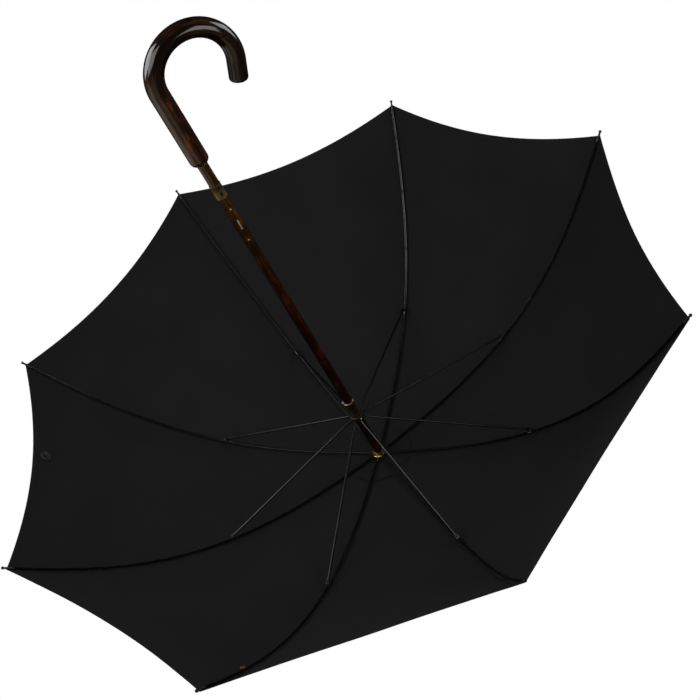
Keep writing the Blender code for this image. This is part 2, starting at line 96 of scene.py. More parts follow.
BEAD_AT = 1.8             # in ribs round the runner
COLUMNS = 20              # of cloth between a rib and mid-gore

SECTOR = 2 * math.pi / RIBS
SIDEWAYS = Vector((0, 1, 0))


# Shape of a rib and of the cloth over it


def eased(share):
    """From 0 to 1, level at both ends."""
    return share * share * (3 - 2 * share)


def rib_slope(along):
    share = np.asarray(along, float) / RIB_LENGTH
    return np.radians(ROOT_SLOPE + (TIP_SLOPE - ROOT_SLOPE) * eased(share))


def rib_table(step=0.0005):
    """Lengths, radii and heights along the open rib."""
    along = np.arange(int((RIB_LENGTH + 0.04) / step) + 1) * step
    slope = rib_slope(along[:-1] + step / 2)
    radius = PIVOT_RADIUS + np.concatenate(([0], np.cumsum(np.cos(slope) * step)))
    height = CROWN_Z - np.concatenate(([0], np.cumsum(np.sin(slope) * step)))
    return along, radius, height


TABLE_ALONG, TABLE_RADIUS, TABLE_HEIGHT = rib_table()


def rib_curve(along, lift=0.0):
    """Radius and height on the open rib, lifted square to it."""
    slope = rib_slope(along)
    radius = np.interp(along, TABLE_ALONG, TABLE_RADIUS) + lift * np.sin(slope)
    height = np.interp(along, TABLE_ALONG, TABLE_HEIGHT) + lift * np.cos(slope)
    return radius, height


def rib_spot(along, lift=0.0):
    radius, height = rib_curve(along, lift)
    return Vector((float(radius), 0.0, float(height)))


def rib_axes(along):
    """Directions square to the open rib and along it."""
    slope = float(rib_slope(along))
    sine, cosine = math.sin(slope), math.cos(slope)
    return Vector((sine, 0, cosine)), Vector((cosine, 0, -sine))


CROWN_PIVOT = Vector((PIVOT_RADIUS, 0, CROWN_Z))
JOINT_PIVOT = rib_spot(JOINT_AT, -JOINT_DROP)
FLEX_PIVOT = rib_spot(FLEX_AT)
RUNNER_Z = 2 * JOINT_PIVOT.z - CROWN_Z
RUNNER_PIVOT = Vector((PIVOT_RADIUS, 0, RUNNER_Z))
RUNNER_RIM_Z = RUNNER_Z - SLEEVE_LENGTH


def half_width(along):
    """From a rib to half way to the next, along the straight chord between them."""
    return rib_curve(along)[0] * math.sin(SECTOR / 2)


def puckers(along, across, gore):
    """Small folds of the stretched cloth: along the seams, and fanning in from the ribs' tips."""
    near_rib = np.abs(across)
    from_mid = 1 - near_rib
    reach = near_rib * half_width(along)
    phase = 1.7 * gore
    seam_width = 0.012
    seam = (0.00022 * np.exp(-reach / seam_width) * np.sin(2 * np.pi * along / 0.021 + phase)
            * reach / seam_width)
    to_tip = np.maximum(RIB_LENGTH - along, 0)
    angle = np.arctan2(reach, to_tip + 0.02)
    fan = 0.0011 * np.exp(-to_tip / 0.07) * np.sin(9 * angle + phase) * near_rib * from_mid ** 2
    wave = 0.0007 * np.sin(2 * np.pi * along / 0.19 + phase) * (4 * near_rib * from_mid) ** 2
    return seam * from_mid ** 2 + fan + wave * np.clip(along / RIB_LENGTH, 0, 1)


def cloth(along, across, gore=0, rise=0.0):
    """Points on the open canopy in rib 1's frame, as an array; rise lifts them off the cloth."""
    along, across = np.asarray(along, float), np.asarray(across, float)
    share = np.abs(across) / 2
    settle = np.clip((along - RIB_LENGTH + 0.05) / 0.05, 0, 1) * 0.0014
    lift = CLOTH_LIFT + 0.0028 * np.exp(-along / 0.012) - settle + rise
    sag = np.sin(np.pi * np.minimum(1, along / RIB_LENGTH)) ** 2
    slack = GORE_SAG * 4 * share * (1 - share) * sag
    radius, height = rib_curve(along, lift - slack + puckers(along, across, gore))
    outwards = radius * (1 - share + share * math.cos(SECTOR))
    sideways = radius * share * math.sin(SECTOR) * np.sign(across)
    return np.stack([outwards, sideways, height], axis=-1)


def cloth_normal(along, across, gore, side):
    """Unit normals of the cloth, outwards; side is the sector's half, to keep the rib's crease."""
    step = 0.0004
    near = np.maximum(np.abs(across) - 0.01, 0.0)
    down = cloth(along + step, across, gore) - cloth(along - step, across, gore)
    over = (cloth(along, side * (near + 0.02), gore) - cloth(along, side * near, gore)) * side
    normal = np.cross(down, over)
    return normal / np.linalg.norm(normal, axis=-1, keepdims=True)


def hem_at(across):
    share = np.abs(across) / 2
    return RIB_LENGTH - HEM_CUT * 4 * share * (1 - share)


def seam_at(across):
    """Length along the rib where the cloth crosses the rib's hinge line, square to the rib."""
    share = np.abs(across) / 2
    target = FLEX_PIVOT.x / (1 - share * (1 - math.cos(SECTOR)))
    return np.interp(target, TABLE_RADIUS, TABLE_ALONG)


# Materials

THREAD_PITCH, STITCH_PITCH = 0.0009, 0.0026
SEAM_ROW, HEM_ROW = 0.0032, 0.0052      # rows of stitches, from the seam and from the hem
CLOTH_BLACK = (0.0100, 0.0100, 0.0114)
BRUSHED_UP, BRUSHED_OUT = (1, 1, 0.15), (0.1, 1, 1)     # along the shaft and along a rib


def node(tree, kind, inputs=None, **settings):
    made = tree.nodes.new("ShaderNode" + kind)
    for key, value in settings.items():
        setattr(made, key, value)
    for key, value in (inputs or {}).items():
        if isinstance(value, bpy.types.NodeSocket):
            tree.links.new(value, made.inputs[key])
        else:
            made.inputs[key].default_value = value
    return made


class Paint:
    """A Principled material and the nodes that feed it."""

    def __init__(self, name, **values):
        """Plain values go straight on the shader's own sockets."""
        self.material = bpy.data.materials.new(name)
        self.material.use_nodes = True
        self.tree = self.material.node_tree
        self.shader = self.tree.nodes["Principled BSDF"]
        for socket, value in values.items():
            self.shader.inputs[socket.replace("_", " ")].default_value = value

    def node(self, kind, inputs=None, **settings):
        return node(self.tree, kind, inputs, **settings)

    def feed(self, socket, value):
        self.tree.links.new(value, self.shader.inputs[socket])

    def math(self, operation, a, b=0.0, c=0.0):
        return self.node("Math", {0: a, 1: b, 2: c}, operation=operation).outputs[0]

    def add(self, total, *terms):
        for term in terms:
            total = self.math("ADD", total, term)
        return total

    def times(self, a, b):
        return self.math("MULTIPLY", a, b)

    def waves(self, length, pitch):
        return self.math("SINE", self.times(length, 2 * math.pi / pitch))

    def split(self, vector):
        return self.node("SeparateXYZ", {"Vector": vector}).outputs

    def ramp(self, factor, stops):
        """A colour ramp through (position, colour) stops."""
        made = self.node("ValToRGB", {"Fac": factor})
        elements = made.color_ramp.elements
        while len(elements) < len(stops):
            elements.new(0.5)
        for element, (position, colour) in zip(elements, stops):
            element.position = position
            element.color = (*colour, 1)
        return made.outputs["Color"]

    def levels(self, factor, low, high, start=0.0, end=1.0):
        return self.node("MapRange", {"Value": factor, "From Min": start, "From Max": end,
                                      "To Min": low, "To Max": high}).outputs["Result"]

    def mix(self, factor, a, b):
        made = self.node("Mix", {"Factor": factor, "A": a, "B": b}, data_type="RGBA")
        return made.outputs["Result"]

    def noise(self, vector, scale, detail=3.0, roughness=0.5):
        """Noise at one scale, or stretched by a scale for each axis."""
        if isinstance(scale, tuple):
            vector = self.node("Mapping", {"Vector": vector, "Scale": scale}).outputs["Vector"]
            scale = 1.0
        return self.node("TexNoise", {"Vector": vector, "Scale": scale, "Detail": detail,
                                      "Roughness": roughness}).outputs["Fac"]

    def bump(self, height, strength, distance, socket="Normal"):
        made = self.node("Bump", {"Height": height, "Strength": strength, "Distance": distance})
        self.feed(socket, made.outputs["Normal"])


def cloth_material(name, colour, sheen=0.02, stitch_lines=False):
    """Plain-woven black cloth: warp and weft, slubs, and stitches along the seams and the hem."""
    paint = Paint(name, Roughness=0.82, Sheen_Weight=sheen, Sheen_Roughness=0.45,
                  Specular_IOR_Level=0.12, Sheen_Tint=(0.55, 0.56, 0.60, 1))
    weave = paint.node("UVMap", uv_map="weave").outputs["UV"]
    x, y, _ = paint.split(weave)
    over = paint.times(paint.waves(x, THREAD_PITCH), paint.waves(y, THREAD_PITCH))
    slub = paint.noise(weave, (900, 45, 1), 2.0)
    cross_slub = paint.noise(weave, (45, 900, 1), 2.0)
    tone = paint.add(
        paint.levels(slub, -0.22, 0.22), paint.levels(cross_slub, -0.22, 0.22),
        paint.levels(over, -0.12, 0.12, -1, 1),
        paint.levels(paint.noise(weave, 9.0), -0.16, 0.16, 0.3, 0.7),
    )
    tone = paint.levels(tone, 0.0, 1.0, -0.6, 0.6)
    height = paint.add(paint.times(over, 0.5), paint.add(slub, cross_slub))
    dark, light = (tuple(share * c for c in colour) for share in (0.70, 1.32))
    shade = paint.ramp(tone, [(0.0, dark), (1.0, light)])
    if stitch_lines:
        shade, height = add_stitches(paint, x, y, shade, height)
    paint.feed("Base Color", shade)
    paint.feed("Roughness", paint.levels(tone, 0.88, 0.74))
    paint.bump(height, 0.35, 0.00012)
    return paint.material


def add_stitches(paint, x, y, shade, height):
    """Rows of stitches beside each rib's seam and along the hem, sunk into the cloth."""
    from_seam, from_hem, _ = paint.split(paint.node("UVMap", uv_map="edges").outputs["UV"])

    def row(distance, at, length):
        off = paint.math("ABSOLUTE", paint.math("SUBTRACT", distance, at))
        line = paint.levels(off, 1.0, 0.0, 0.00022, 0.00042)
        dash = paint.waves(length, STITCH_PITCH)
        return paint.times(line, paint.levels(dash, 0.0, 1.0, -0.75, -0.35))

    stitches = paint.math("MAXIMUM", row(from_seam, SEAM_ROW, y), row(from_hem, HEM_ROW, x))
    shade = paint.mix(stitches, shade, (0.020, 0.020, 0.022, 1))
    return shade, paint.add(height, paint.times(stitches, 2.2))


def wood_material(name, near, far, reach, coat_roughness):
    """Stained, varnished wood: long streaks and pores along the stick, under a glossy coat. Near
    and far are four shades each, from dark to streak, for the two ends of the stick; reach is where
    one passes into the other."""
    paint = Paint(name, Roughness=0.42, Coat_Weight=0.92, Coat_Roughness=coat_roughness,
                  Coat_IOR=1.55, Specular_IOR_Level=0.04)
    place = paint.node("Attribute", attribute_name="grain").outputs["Vector"]
    broad = paint.noise(place, (190, 190, 11), 5.0, 0.62)
    fine = paint.noise(place, (900, 900, 24), 5.0, 0.65)
    pores = paint.noise(place, (2600, 2600, 110), 2.0, 0.5)
    rays = paint.noise(place, (330, 330, 1900), 3.0, 0.6)
    patches = paint.noise(place, (75, 75, 26), 3.0, 0.55)
    band = paint.add(paint.levels(broad, 0.0, 1.0, 0.34, 0.68),
                     paint.levels(fine, -0.42, 0.42, 0.25, 0.75))
    band = paint.times(band, paint.levels(patches, 0.15, 1.35, 0.36, 0.64))
    band = paint.add(band, paint.levels(rays, -0.13, 0.13, 0.3, 0.7))
    shades = [paint.ramp(band, list(zip((0.0, 0.38, 0.70, 1.0), end))) for end in (near, far)]
    length = paint.add(paint.split(place)[2], paint.levels(patches, -0.02, 0.02))
    # Near shades pass into far ones along the stick; on the shaft the far end's darkness is painted
    # shade.
    shade = paint.mix(paint.levels(length, 0.0, 1.0, *reach), *shades)
    pore = paint.levels(pores, 0.0, 1.0, 0.58, 0.68)
    paint.feed("Base Color", paint.mix(paint.times(pore, 0.75), shade, (0.002, 0.001, 0.0008, 1)))
    paint.feed("Roughness", paint.levels(fine, 0.34, 0.54, 0.3, 0.7))
    relief = paint.math("SUBTRACT", paint.add(fine, paint.times(rays, 0.5)), pore)
    paint.bump(relief, 0.16, 0.00012)
    ripple = paint.add(patches, paint.times(broad, 0.35), paint.times(rays, 0.10))
    paint.bump(ripple, 0.30, 0.0007, "Coat Normal")
    return paint.material


def metal_material(name, colour, roughness, metallic, wear_colour, wear, brushed=(1, 1, 1)):
    """Plated or polished metal: fine brushing, clouding, and bare metal on worn spots."""
    paint = Paint(name, Metallic=metallic)
    place = paint.node("TexCoord").outputs["Object"]
    brush = paint.noise(place, tuple(1500 * b for b in brushed), 3.0, 0.6)
    cloud = paint.noise(place, 120.0, 4.0, 0.6)
    speck = paint.noise(place, 900.0, 3.0, 0.7)
    worn = paint.times(paint.levels(cloud, 0.0, 1.0, 0.55, 0.72),
                       paint.levels(speck, 0.0, 1.0, 0.50, 0.66))
    deep = tuple(0.62 * c for c in colour)
    shade = paint.ramp(paint.levels(cloud, 0.0, 1.0, 0.30, 0.70),
                       [(0.0, deep), (0.55, colour), (1.0, colour)])
    paint.feed("Base Color", paint.mix(paint.times(worn, wear), shade, (*wear_colour, 1)))
    paint.feed("Roughness", paint.add(
        paint.levels(brush, roughness * 0.75, roughness * 1.35, 0.3, 0.7),
        paint.levels(speck, -0.03, 0.05, 0.3, 0.7)))
    paint.bump(paint.add(brush, paint.times(speck, 0.5)), 0.25, 0.00003)
    return paint.material


def thread_material():
    """Black sewing thread with its twist."""
    paint = Paint("black_thread", Roughness=0.75, Specular_IOR_Level=0.15)
    place = paint.node("TexCoord").outputs["Object"]
    twist = paint.node("TexWave", {"Vector": place, "Scale": 900.0, "Distortion": 2.0},
                       bands_direction="DIAGONAL").outputs["Fac"]
    stops = [(0.0, (0.003, 0.003, 0.003)), (1.0, (0.010, 0.010, 0.011))]
    paint.feed("Base Color", paint.ramp(twist, stops))
    paint.bump(twist, 0.5, 0.0001)
    return paint.material


MATERIALS = {
    "canopy": cloth_material("canopy_cloth", CLOTH_BLACK, stitch_lines=True),
    "band": cloth_material("seam_tape", (0.010, 0.010, 0.011), 0.05),
    # Darker than the canopy's cloth: painted shade, which keeps the strap dim though it faces the
    # lamps.
    "strap": cloth_material("strap_cloth", (0.0050, 0.0050, 0.0057), 0.01, True),
    "lining": cloth_material("lining_cloth", (0.0092, 0.0092, 0.0104), 0.03, True),
    "handle": wood_material(
        "stained_wood",
        ((0.0050, 0.0016, 0.0005), (0.019, 0.0058, 0.0016), (0.054, 0.014, 0.0028),
         (0.130, 0.034, 0.0055)),
        ((0.0030, 0.0010, 0.0004), (0.0075, 0.0024, 0.0008), (0.019, 0.0056, 0.0016),
         (0.044, 0.012, 0.0028)),
        (0.100, 0.150), 0.050),
    # The shaft's far shades, darker towards the crown, are painted shade where the canopy keeps
    # light off the stick; the red-brown tone is the lacquer's own.
    "shaft": wood_material(
        "lacquered_wood",
        ((0.014, 0.0058, 0.0010), (0.034, 0.014, 0.0020), (0.070, 0.027, 0.0032),
         (0.110, 0.042, 0.0050)),
        ((0.0050, 0.0007, 0.0002), (0.013, 0.0018, 0.0004), (0.028, 0.0042, 0.0009),
         (0.046, 0.0084, 0.0015)),
        (0.060, 0.360), 0.060),
    "thread": thread_material(),
}
for key, *look in (     # name, colour, roughness, metallic, colour where worn, wear, brushing
    ("button", "button_horn", (0.0085, 0.0085, 0.0088), 0.58, 0.0, (0.018, 0.017, 0.016), 0.5),
    ("brass", "polished_brass", (0.83, 0.56, 0.21), 0.20, 1.0, (0.95, 0.74, 0.40), 0.5,
     BRUSHED_UP),
    ("old_brass", "dull_brass", (0.26, 0.165, 0.055), 0.36, 1.0, (0.60, 0.42, 0.17), 0.7,
     BRUSHED_UP),
    ("snap", "brushed_brass", (0.26, 0.150, 0.032), 0.42, 0.85, (0.36, 0.22, 0.07), 0.4),
    # Nearly white and barely metallic: a painted glint on the catch's end, seen from any side.
    ("nib", "rubbed_steel", (0.86, 0.80, 0.70), 0.30, 0.15, (0.7, 0.62, 0.50), 0.3),
    ("plate", "dull_gilt", (0.150, 0.108, 0.036), 0.38, 0.85, (0.27, 0.20, 0.08), 0.6,
     (0.3, 0.3, 1)),
    # Pale and only half metallic: partly the spring's own steel, partly a painted glint that shows
    # from any side.
    ("spring", "spring_steel", (0.80, 0.70, 0.54), 0.20, 0.55, (0.6, 0.52, 0.40), 0.5,
     BRUSHED_UP),
    # Dark brown on the springs: painted shade.
    ("worn_spring", "stained_spring", (0.10, 0.060, 0.030), 0.34, 0.8, (0.22, 0.15, 0.08), 0.5,
     BRUSHED_UP),
    ("rib", "black_steel", (0.075, 0.075, 0.080), 0.26, 0.95, (0.16, 0.16, 0.17), 0.4,
     BRUSHED_OUT),
    ("stretcher", "bright_black_steel", (0.040, 0.040, 0.043), 0.24, 0.95, (0.15, 0.15, 0.155),
     0.5, BRUSHED_OUT),
    ("enamel", "black_enamel", (0.012, 0.012, 0.013), 0.38, 0.2, (0.14, 0.13, 0.11), 0.4),
):
    MATERIALS[key] = metal_material(*look)


# Mesh helpers


def placed(name, data):
    """A new object in the scene."""
    obj = bpy.data.objects.new(name, data)
    bpy.context.scene.collection.objects.link(obj)
    return obj


def from_bmesh(name, bm):
    mesh = bpy.data.meshes.new(name)
    bm.to_mesh(mesh)
    bm.free()
    return placed(name, mesh)


def add_mesh(name, points, faces, material, normals=None):
    mesh = bpy.data.meshes.new(name)
    mesh.from_pydata([tuple(map(float, point)) for point in points], [],
                     [tuple(map(int, face)) for face in faces])
    mesh.validate()
    mesh.shade_smooth()
    if normals is not None:
        mesh.normals_split_custom_set_from_vertices([tuple(map(float, n)) for n in normals])
    mesh.materials.append(MATERIALS[material])
    return placed(name, mesh)


def about_z(degrees):
    return Matrix.Rotation(math.radians(degrees), 4, "Z")


def turned(obj, degrees):
    """Turns a piece about the shaft's axis, in its own mesh."""
    obj.data.transform(about_z(degrees))
    return obj


def spun(obj, rib):
    """Turns a piece made over rib 1 to another rib."""
    return turned(obj, 360 / RIBS * rib)


def facing(x, y, z, place):
    """Stands something at a place with its axes along three directions."""
    turn = Matrix((x, y, z)).transposed().to_4x4()
    turn.translation = place
    return turn


def sharpen(obj, angle=35):
    obj.data.set_sharp_from_angle(angle=math.radians(angle))
    return obj


def face_out(obj, merge=False):
    bm = bmesh.new()
    bm.from_mesh(obj.data)
    if merge:
        bmesh.ops.remove_doubles(bm, verts=bm.verts, dist=0.000001)
    bmesh.ops.recalc_face_normals(bm, faces=bm.faces)
    bm.to_mesh(obj.data)
    bm.free()
    return obj


def joined(name, pieces):
    """One object from several, keeping each one's materials."""
    bm = bmesh.new()
    slots = []
    for piece in pieces:
        start = len(bm.faces)
        bm.from_mesh(piece.data)
        bm.faces.ensure_lookup_table()
        for face in bm.faces[start:]:
            held = piece.data.materials[face.material_index]
            if held not in slots:
                slots.append(held)
            face.material_index = slots.index(held)
    for piece in pieces:
        bpy.data.objects.remove(piece, do_unlink=True)
    obj = from_bmesh(name, bm)
    for held in slots:
        obj.data.materials.append(held)
    return obj


def circle(steps):
    return [2 * math.pi * j / steps for j in range(steps)]


def round_loop(radius, steps, x=0.0, y=0.0):
    return [(x + radius * math.cos(turn), y + radius * math.sin(turn)) for turn in circle(steps)]


def ball(radius, half_height, steps):
    """Outline of a ball, from its foot to its top."""
    turns = [math.pi * i / steps for i in range(steps + 1)]
    return [(radius * math.sin(turn), -half_height * math.cos(turn)) for turn in turns]


def bulge(steps):
    """(how far out, how far up) a half round, both from 0 to 1."""
    return [(math.sin(math.pi * i / steps), i / steps) for i in range(steps + 1)]


def ring_faces(rings, sides, closed=False):
    """Quads between rings of points, each ring a closed loop of the same count."""
    faces = []
    for i in range(rings if closed else rings - 1):
        a, b = i * sides, ((i + 1) % rings) * sides
        faces += [(a + j, a + (j + 1) % sides, b + (j + 1) % sides, b + j) for j in range(sides)]
    return faces


def capped_bar(name, points, rings, sides, material):
    """A solid from rings of points, closed at both ends."""
    faces = ring_faces(rings, sides)
    faces += [tuple(range(sides))[::-1], tuple(range(len(points) - sides, len(points)))]
    return face_out(add_mesh(name, points, faces, material))


def directions(centres):
    """The path's direction at each of its points."""
    ends = zip([centres[0], *centres[:-1]], [*centres[1:], centres[-1]])
    return [(after - before).normalized() for before, after in ends]


def swept(name, centres, ups, profile, material, sides=None):
    """A bar of a given cross-section along a path; profile is a loop of (side, up), or one loop for
    each centre. Sides point along Y unless given."""
    loops = profile if isinstance(profile[0][0], (list, tuple)) else [profile] * len(centres)
    points = []
    for centre, side, up, loop in zip(centres, sides or [SIDEWAYS] * len(centres), ups, loops):
        points += [centre + side * a + up * b for a, b in loop]
    return capped_bar(name, points, len(centres), len(loops[0]), material)


def lathe(name, profile, material, steps=64, centre=(0, 0, 0), closed=True):
    """An outline of (radius, height) turned about Z; closed makes a ring, open a solid."""
    x, y, z = centre
    points = [(x + radius * math.cos(turn), y + radius * math.sin(turn), z + height)
              for radius, height in profile for turn in circle(steps)]
    obj = add_mesh(name, points, ring_faces(len(profile), steps, closed), material)
    return sharpen(face_out(obj, merge=True))


def rounded(corners, radius, steps=3):
    """A closed outline with each corner rounded off."""
    out = []
    for i, corner in enumerate(corners):
        here = Vector(corner)
        before, after = Vector(corners[i - 1]), Vector(corners[(i + 1) % len(corners)])
        cut = min(radius, (before - here).length * 0.45, (after - here).length * 0.45)
        a = here + (before - here).normalized() * cut
        b = here + (after - here).normalized() * cut
        for t in (k / steps for k in range(steps + 1)):
            out.append(tuple(a * (1 - t) ** 2 + here * 2 * t * (1 - t) + b * t * t))
    return out


def block(name, low, high, material, bevel=0.0002):
    low, high = Vector(low), Vector(high)
    bm = bmesh.new()
    bmesh.ops.create_cube(bm, size=1)
    bmesh.ops.scale(bm, vec=high - low, verts=bm.verts)
    bmesh.ops.translate(bm, vec=(low + high) / 2, verts=bm.verts)
    bmesh.ops.bevel(bm, geom=list(bm.edges), offset=bevel, segments=2, profile=0.5, affect="EDGES")
    obj = from_bmesh(name, bm)
    obj.data.materials.append(MATERIALS[material])
    return obj


def cut_away(obj, cutters):
    """Subtracts the cutters, and removes them."""
    for cutter in cutters:
        modifier = obj.modifiers.new("cut", "BOOLEAN")
        modifier.operation, modifier.solver, modifier.object = "DIFFERENCE", "EXACT", cutter
    bpy.context.view_layer.update()
    mesh = bpy.data.meshes.new_from_object(
        obj.evaluated_get(bpy.context.evaluated_depsgraph_get()))
    obj.modifiers.clear()
    old, obj.data = obj.data, mesh
    bpy.data.meshes.remove(old)
    for cutter in cutters:
        bpy.data.objects.remove(cutter, do_unlink=True)
    return sharpen(obj)


def rod(name, points, radius, material, sides=10):
    """A round wire or thread through points."""
    centres = [Vector(p) for p in points]
    ahead = directions(centres)
    side = ahead[0].orthogonal().normalized()
    side_list, up_list = [], []
    for direction in ahead:
        side = (side - direction * side.dot(direction)).normalized()
        side_list.append(side)
        up_list.append(direction.cross(side))
    return swept(name, centres, up_list, round_loop(radius, sides), material, side_list)


def add_grain(obj, places):
    """Where each vertex lies in the straight stick that the wood was cut as."""
    attribute = obj.data.attributes.new("grain", "FLOAT_VECTOR", "POINT")
    attribute.data.foreach_set("vector", np.asarray(places, np.float32).reshape(-1))
    return obj


def finish_piece(obj, body, slot_name, *nodes):
    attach(obj, body)
    if nodes:
        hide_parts(*nodes)
    return obj


# Handle and shaft


def crook_path():
    """(x, z, radius) along the handle's middle line, from its shoulder to its nose."""
    path = []
    for i in range(9):
        turn = math.pi / 2 * i / 8
        drop = 0.001 + SHOULDER_HEIGHT * (1 - math.cos(turn))
        radius = SHOULDER_RADIUS + (GRIP_RADIUS - SHOULDER_RADIUS) * math.sin(turn)
        path.append((0, HANDLE_TOP - drop, radius))
    z, low = path[-1][1], CROOK_CENTRE_Z
    path += [(0, z + (low - z) * i / 24, GRIP_RADIUS) for i in range(1, 24)]
    sweep, bends = math.radians(CROOK_SWEEP), 90
    for i in range(bends + 1):
        turn = sweep * i / bends
        path.append((CROOK_RADIUS * (1 - math.cos(turn)), low - CROOK_RADIUS * math.sin(turn),
                     GRIP_RADIUS + (NOSE_RADIUS - GRIP_RADIUS) * i / bends))
    x, z, _ = path[-1]
    straight = NOSE_LENGTH - NOSE_DOME
    nose = [(straight * i / 12, NOSE_RADIUS) for i in range(1, 12)]
    for turn in (math.pi / 2 * i / 14.2 for i in range(15)):    # stops short of the dome's middle
        reach = straight + NOSE_DOME * math.sin(turn)
        nose.append((reach, NOSE_RADIUS * math.cos(turn) ** 0.5))
    return path + [(x + math.sin(sweep) * reach, z - math.cos(sweep) * reach, radius)
                   for reach, radius in nose]


def make_handle():
    """Bent wooden crook, not quite round or even, as bent wood is."""
    path, sides = crook_path(), 56
    centres = [Vector((x, 0, z)) for x, z, _ in path]
    points, places, length, last = [], [], 0.0, centres[0]
    for centre, ahead, (_, _, radius) in zip(centres, directions(centres), path):
        up = ahead.cross(SIDEWAYS)
        length += (centre - last).length
        last = centre
        for turn in circle(sides):
            uneven = (1 + 0.004 * math.sin(2 * turn + 14 * length)
                      + 0.003 * math.sin(3 * turn - 31 * length))
            a, b = radius * uneven * math.cos(turn), radius * uneven * math.sin(turn)
            points.append(centre + SIDEWAYS * a + up * b)
            places.append((a, b, length))
    handle = capped_bar("crook_handle", points, len(path), sides, "handle")
    add_grain(handle, places)
    finish_piece(sharpen(handle, 50), "shaft_assembly", "stained_wood", "handle")


def make_shaft():
    """Lacquered stick with the two slots that the springs lie in."""
    top, bottom, chamfer = CROWN_Z + 0.036, 0.0045, 0.001
    heights = [bottom + (top - chamfer - bottom) * i / 24 for i in range(25)]
    profile = [(0, bottom), *((SHAFT_RADIUS, z) for z in heights), (SHAFT_RADIUS - chamfer, top),
               (0, top)]
    stick = lathe("stick", profile, "shaft", closed=False)
    cutters = []
    for root_z, step_z, azimuth in (
        (RUNNER_RIM_Z - SPRING_LENGTH, RUNNER_RIM_Z - GAP, TOP_SPRING_AZIMUTH),
        (BOTTOM_CATCH_Z + SPRING_LENGTH, BOTTOM_CATCH_Z, BOTTOM_SPRING_AZIMUTH),
    ):
        low, high = min(root_z, step_z) - 0.001, max(root_z, step_z) + 0.001
        slot = block("slot", (0.0020, -0.00145, low), (0.012, 0.00145, high), "shaft", 0.0003)
        cutters.append(turned(slot, azimuth))
    cut_away(stick, cutters)
    add_grain(stick, [tuple(v.co) for v in stick.data.vertices])
    finish_piece(stick, "shaft_assembly", "lacquered_wood", "shaft")


def make_collar():
    """Thin brass ring with a bead, where the shaft enters the handle."""
    low, high, bore = HANDLE_TOP - 0.0007, HANDLE_TOP + 0.0012, SHAFT_RADIUS + 0.0001
    profile = [(bore, low), (0.0090, low), (0.0092, low + 0.0004), (0.0090, low + 0.0008),
               (0.0086, low + 0.0010), (0.0085, high - 0.0003), (0.0082, high), (bore, high)]
    ring = lathe("collar_ring", profile, "brass")
    finish_piece(ring, "shaft_assembly", "brass", "handle_collar")


def make_band():
    """Plain brass band with rolled edges and two small slots through it, with a near-black plug at
    each slot's bottom that paints the shade in it.
    """
    low, high = BAND_Z
    bore, skin = SHAFT_RADIUS + 0.00005, SHAFT_RADIUS + 0.0006
    edge = [(bore, 0), (skin + 0.0001, 0), (skin + 0.0002, 0.0004), (skin, 0.0009)]
    profile = [(r, low + z) for r, z in edge] + [(r, high - z) for r, z in reversed(edge)]
    band = lathe("plain_band", profile, "plate", 96)
    cutters, shade_plugs = [], []
    for height in (low + 0.0012, low + 0.0112):
        # Each slot is cut, and a near-black plug at its bottom paints the slot's shade.
        for made, deep, far, inset, material in (
            (cutters, SHAFT_RADIUS - 0.001, 0.0100, 0.0, "enamel"),
            (shade_plugs, bore, bore + 0.0002, 0.0001, "thread"),
        ):
            notch = block("notch", (deep, -0.0021 + inset, height + inset),
                          (far, 0.0021 - inset, height + 0.0050), material, 0.0001)
            made.append(turned(notch, BOTTOM_SPRING_AZIMUTH - 5))
    cut_away(band, cutters)
    filled = joined("plain_band_filled", [band, *shade_plugs])
    finish_piece(filled, "shaft_assembly", "brass", "brass_band")


def make_pin(azimuth, height):
    """Small flush pin through the shaft that holds the bottom spring's root."""
    profile = [(0, 0.0003), (0.0009, 0.0002), (0.0012, 0.0), (0.0012, -0.001), (0, -0.001)]
    head = lathe("pin_head", profile, "spring", 24, closed=False)
    head.data.transform(about_z(azimuth) @ Matrix.Translation((SHAFT_RADIUS, 0, height))
                        @ Matrix.Rotation(math.pi / 2, 4, "Y"))
    finish_piece(head, "shaft_assembly", "brass")


def make_spring(name, root_z, step_z, azimuth, body, bright_from):
    """Bent strip of spring steel: a long ramp out of the slot and a square step at its end. It is
    painted dark, as shade, from its step up to a share of its length, and bright, with its painted
    glint, from there to its root."""
    way = 1 if step_z > root_z else -1
    span, sunk, half_wide = abs(step_z - root_z), 0.0052, 0.0010
    ramp = span - 0.0026
    outline = [(sunk + (SPRING_PROUD - sunk) * eased(share), root_z + way * ramp * share)
               for share in (i / 12 for i in range(13))]
    outline += [(SPRING_PROUD - back, step_z - way * drop) for back, drop in (
        (0, 0.0016), (0.0002, 0.0009), (0.0007, 0.0004), (0.0013, 0), (SPRING_PROUD - 0.0054, 0))]
    centres = [Vector((radius, 0, height)) for radius, height in outline]
    ups = [ahead.cross(SIDEWAYS) for ahead in directions(centres)]
    loop = rounded([(-half_wide, -SPRING_THICKNESS), (half_wide, -SPRING_THICKNESS),
                    (half_wide, -0.0002), (0, 0.0001), (-half_wide, -0.0002)], 0.0002, 2)
    if way < 0:
        loop = [(a, -b) for a, b in loop]
    strip = swept(name, centres, ups, loop, "spring")
    strip.data.materials.append(MATERIALS["worn_spring"])
    # Faces near the step take the dark colour that paints shade.
    for face in strip.data.polygons:
        face.material_index = int(abs(face.center.z - step_z) < bright_from * span)
    low, high = sorted((step_z, step_z - way * 0.0032))
    # The catch's end, pale with its painted glint.
    nib = block("nib", (0.0072, -0.0013, low), (SPRING_PROUD + 0.0004, 0.0013, high), "nib", 0.0006)
    strip = turned(joined(name, [strip, nib]), azimuth)
    finish_piece(sharpen(strip, 40), body, "brass", body)


# Crown, runner and ferrule


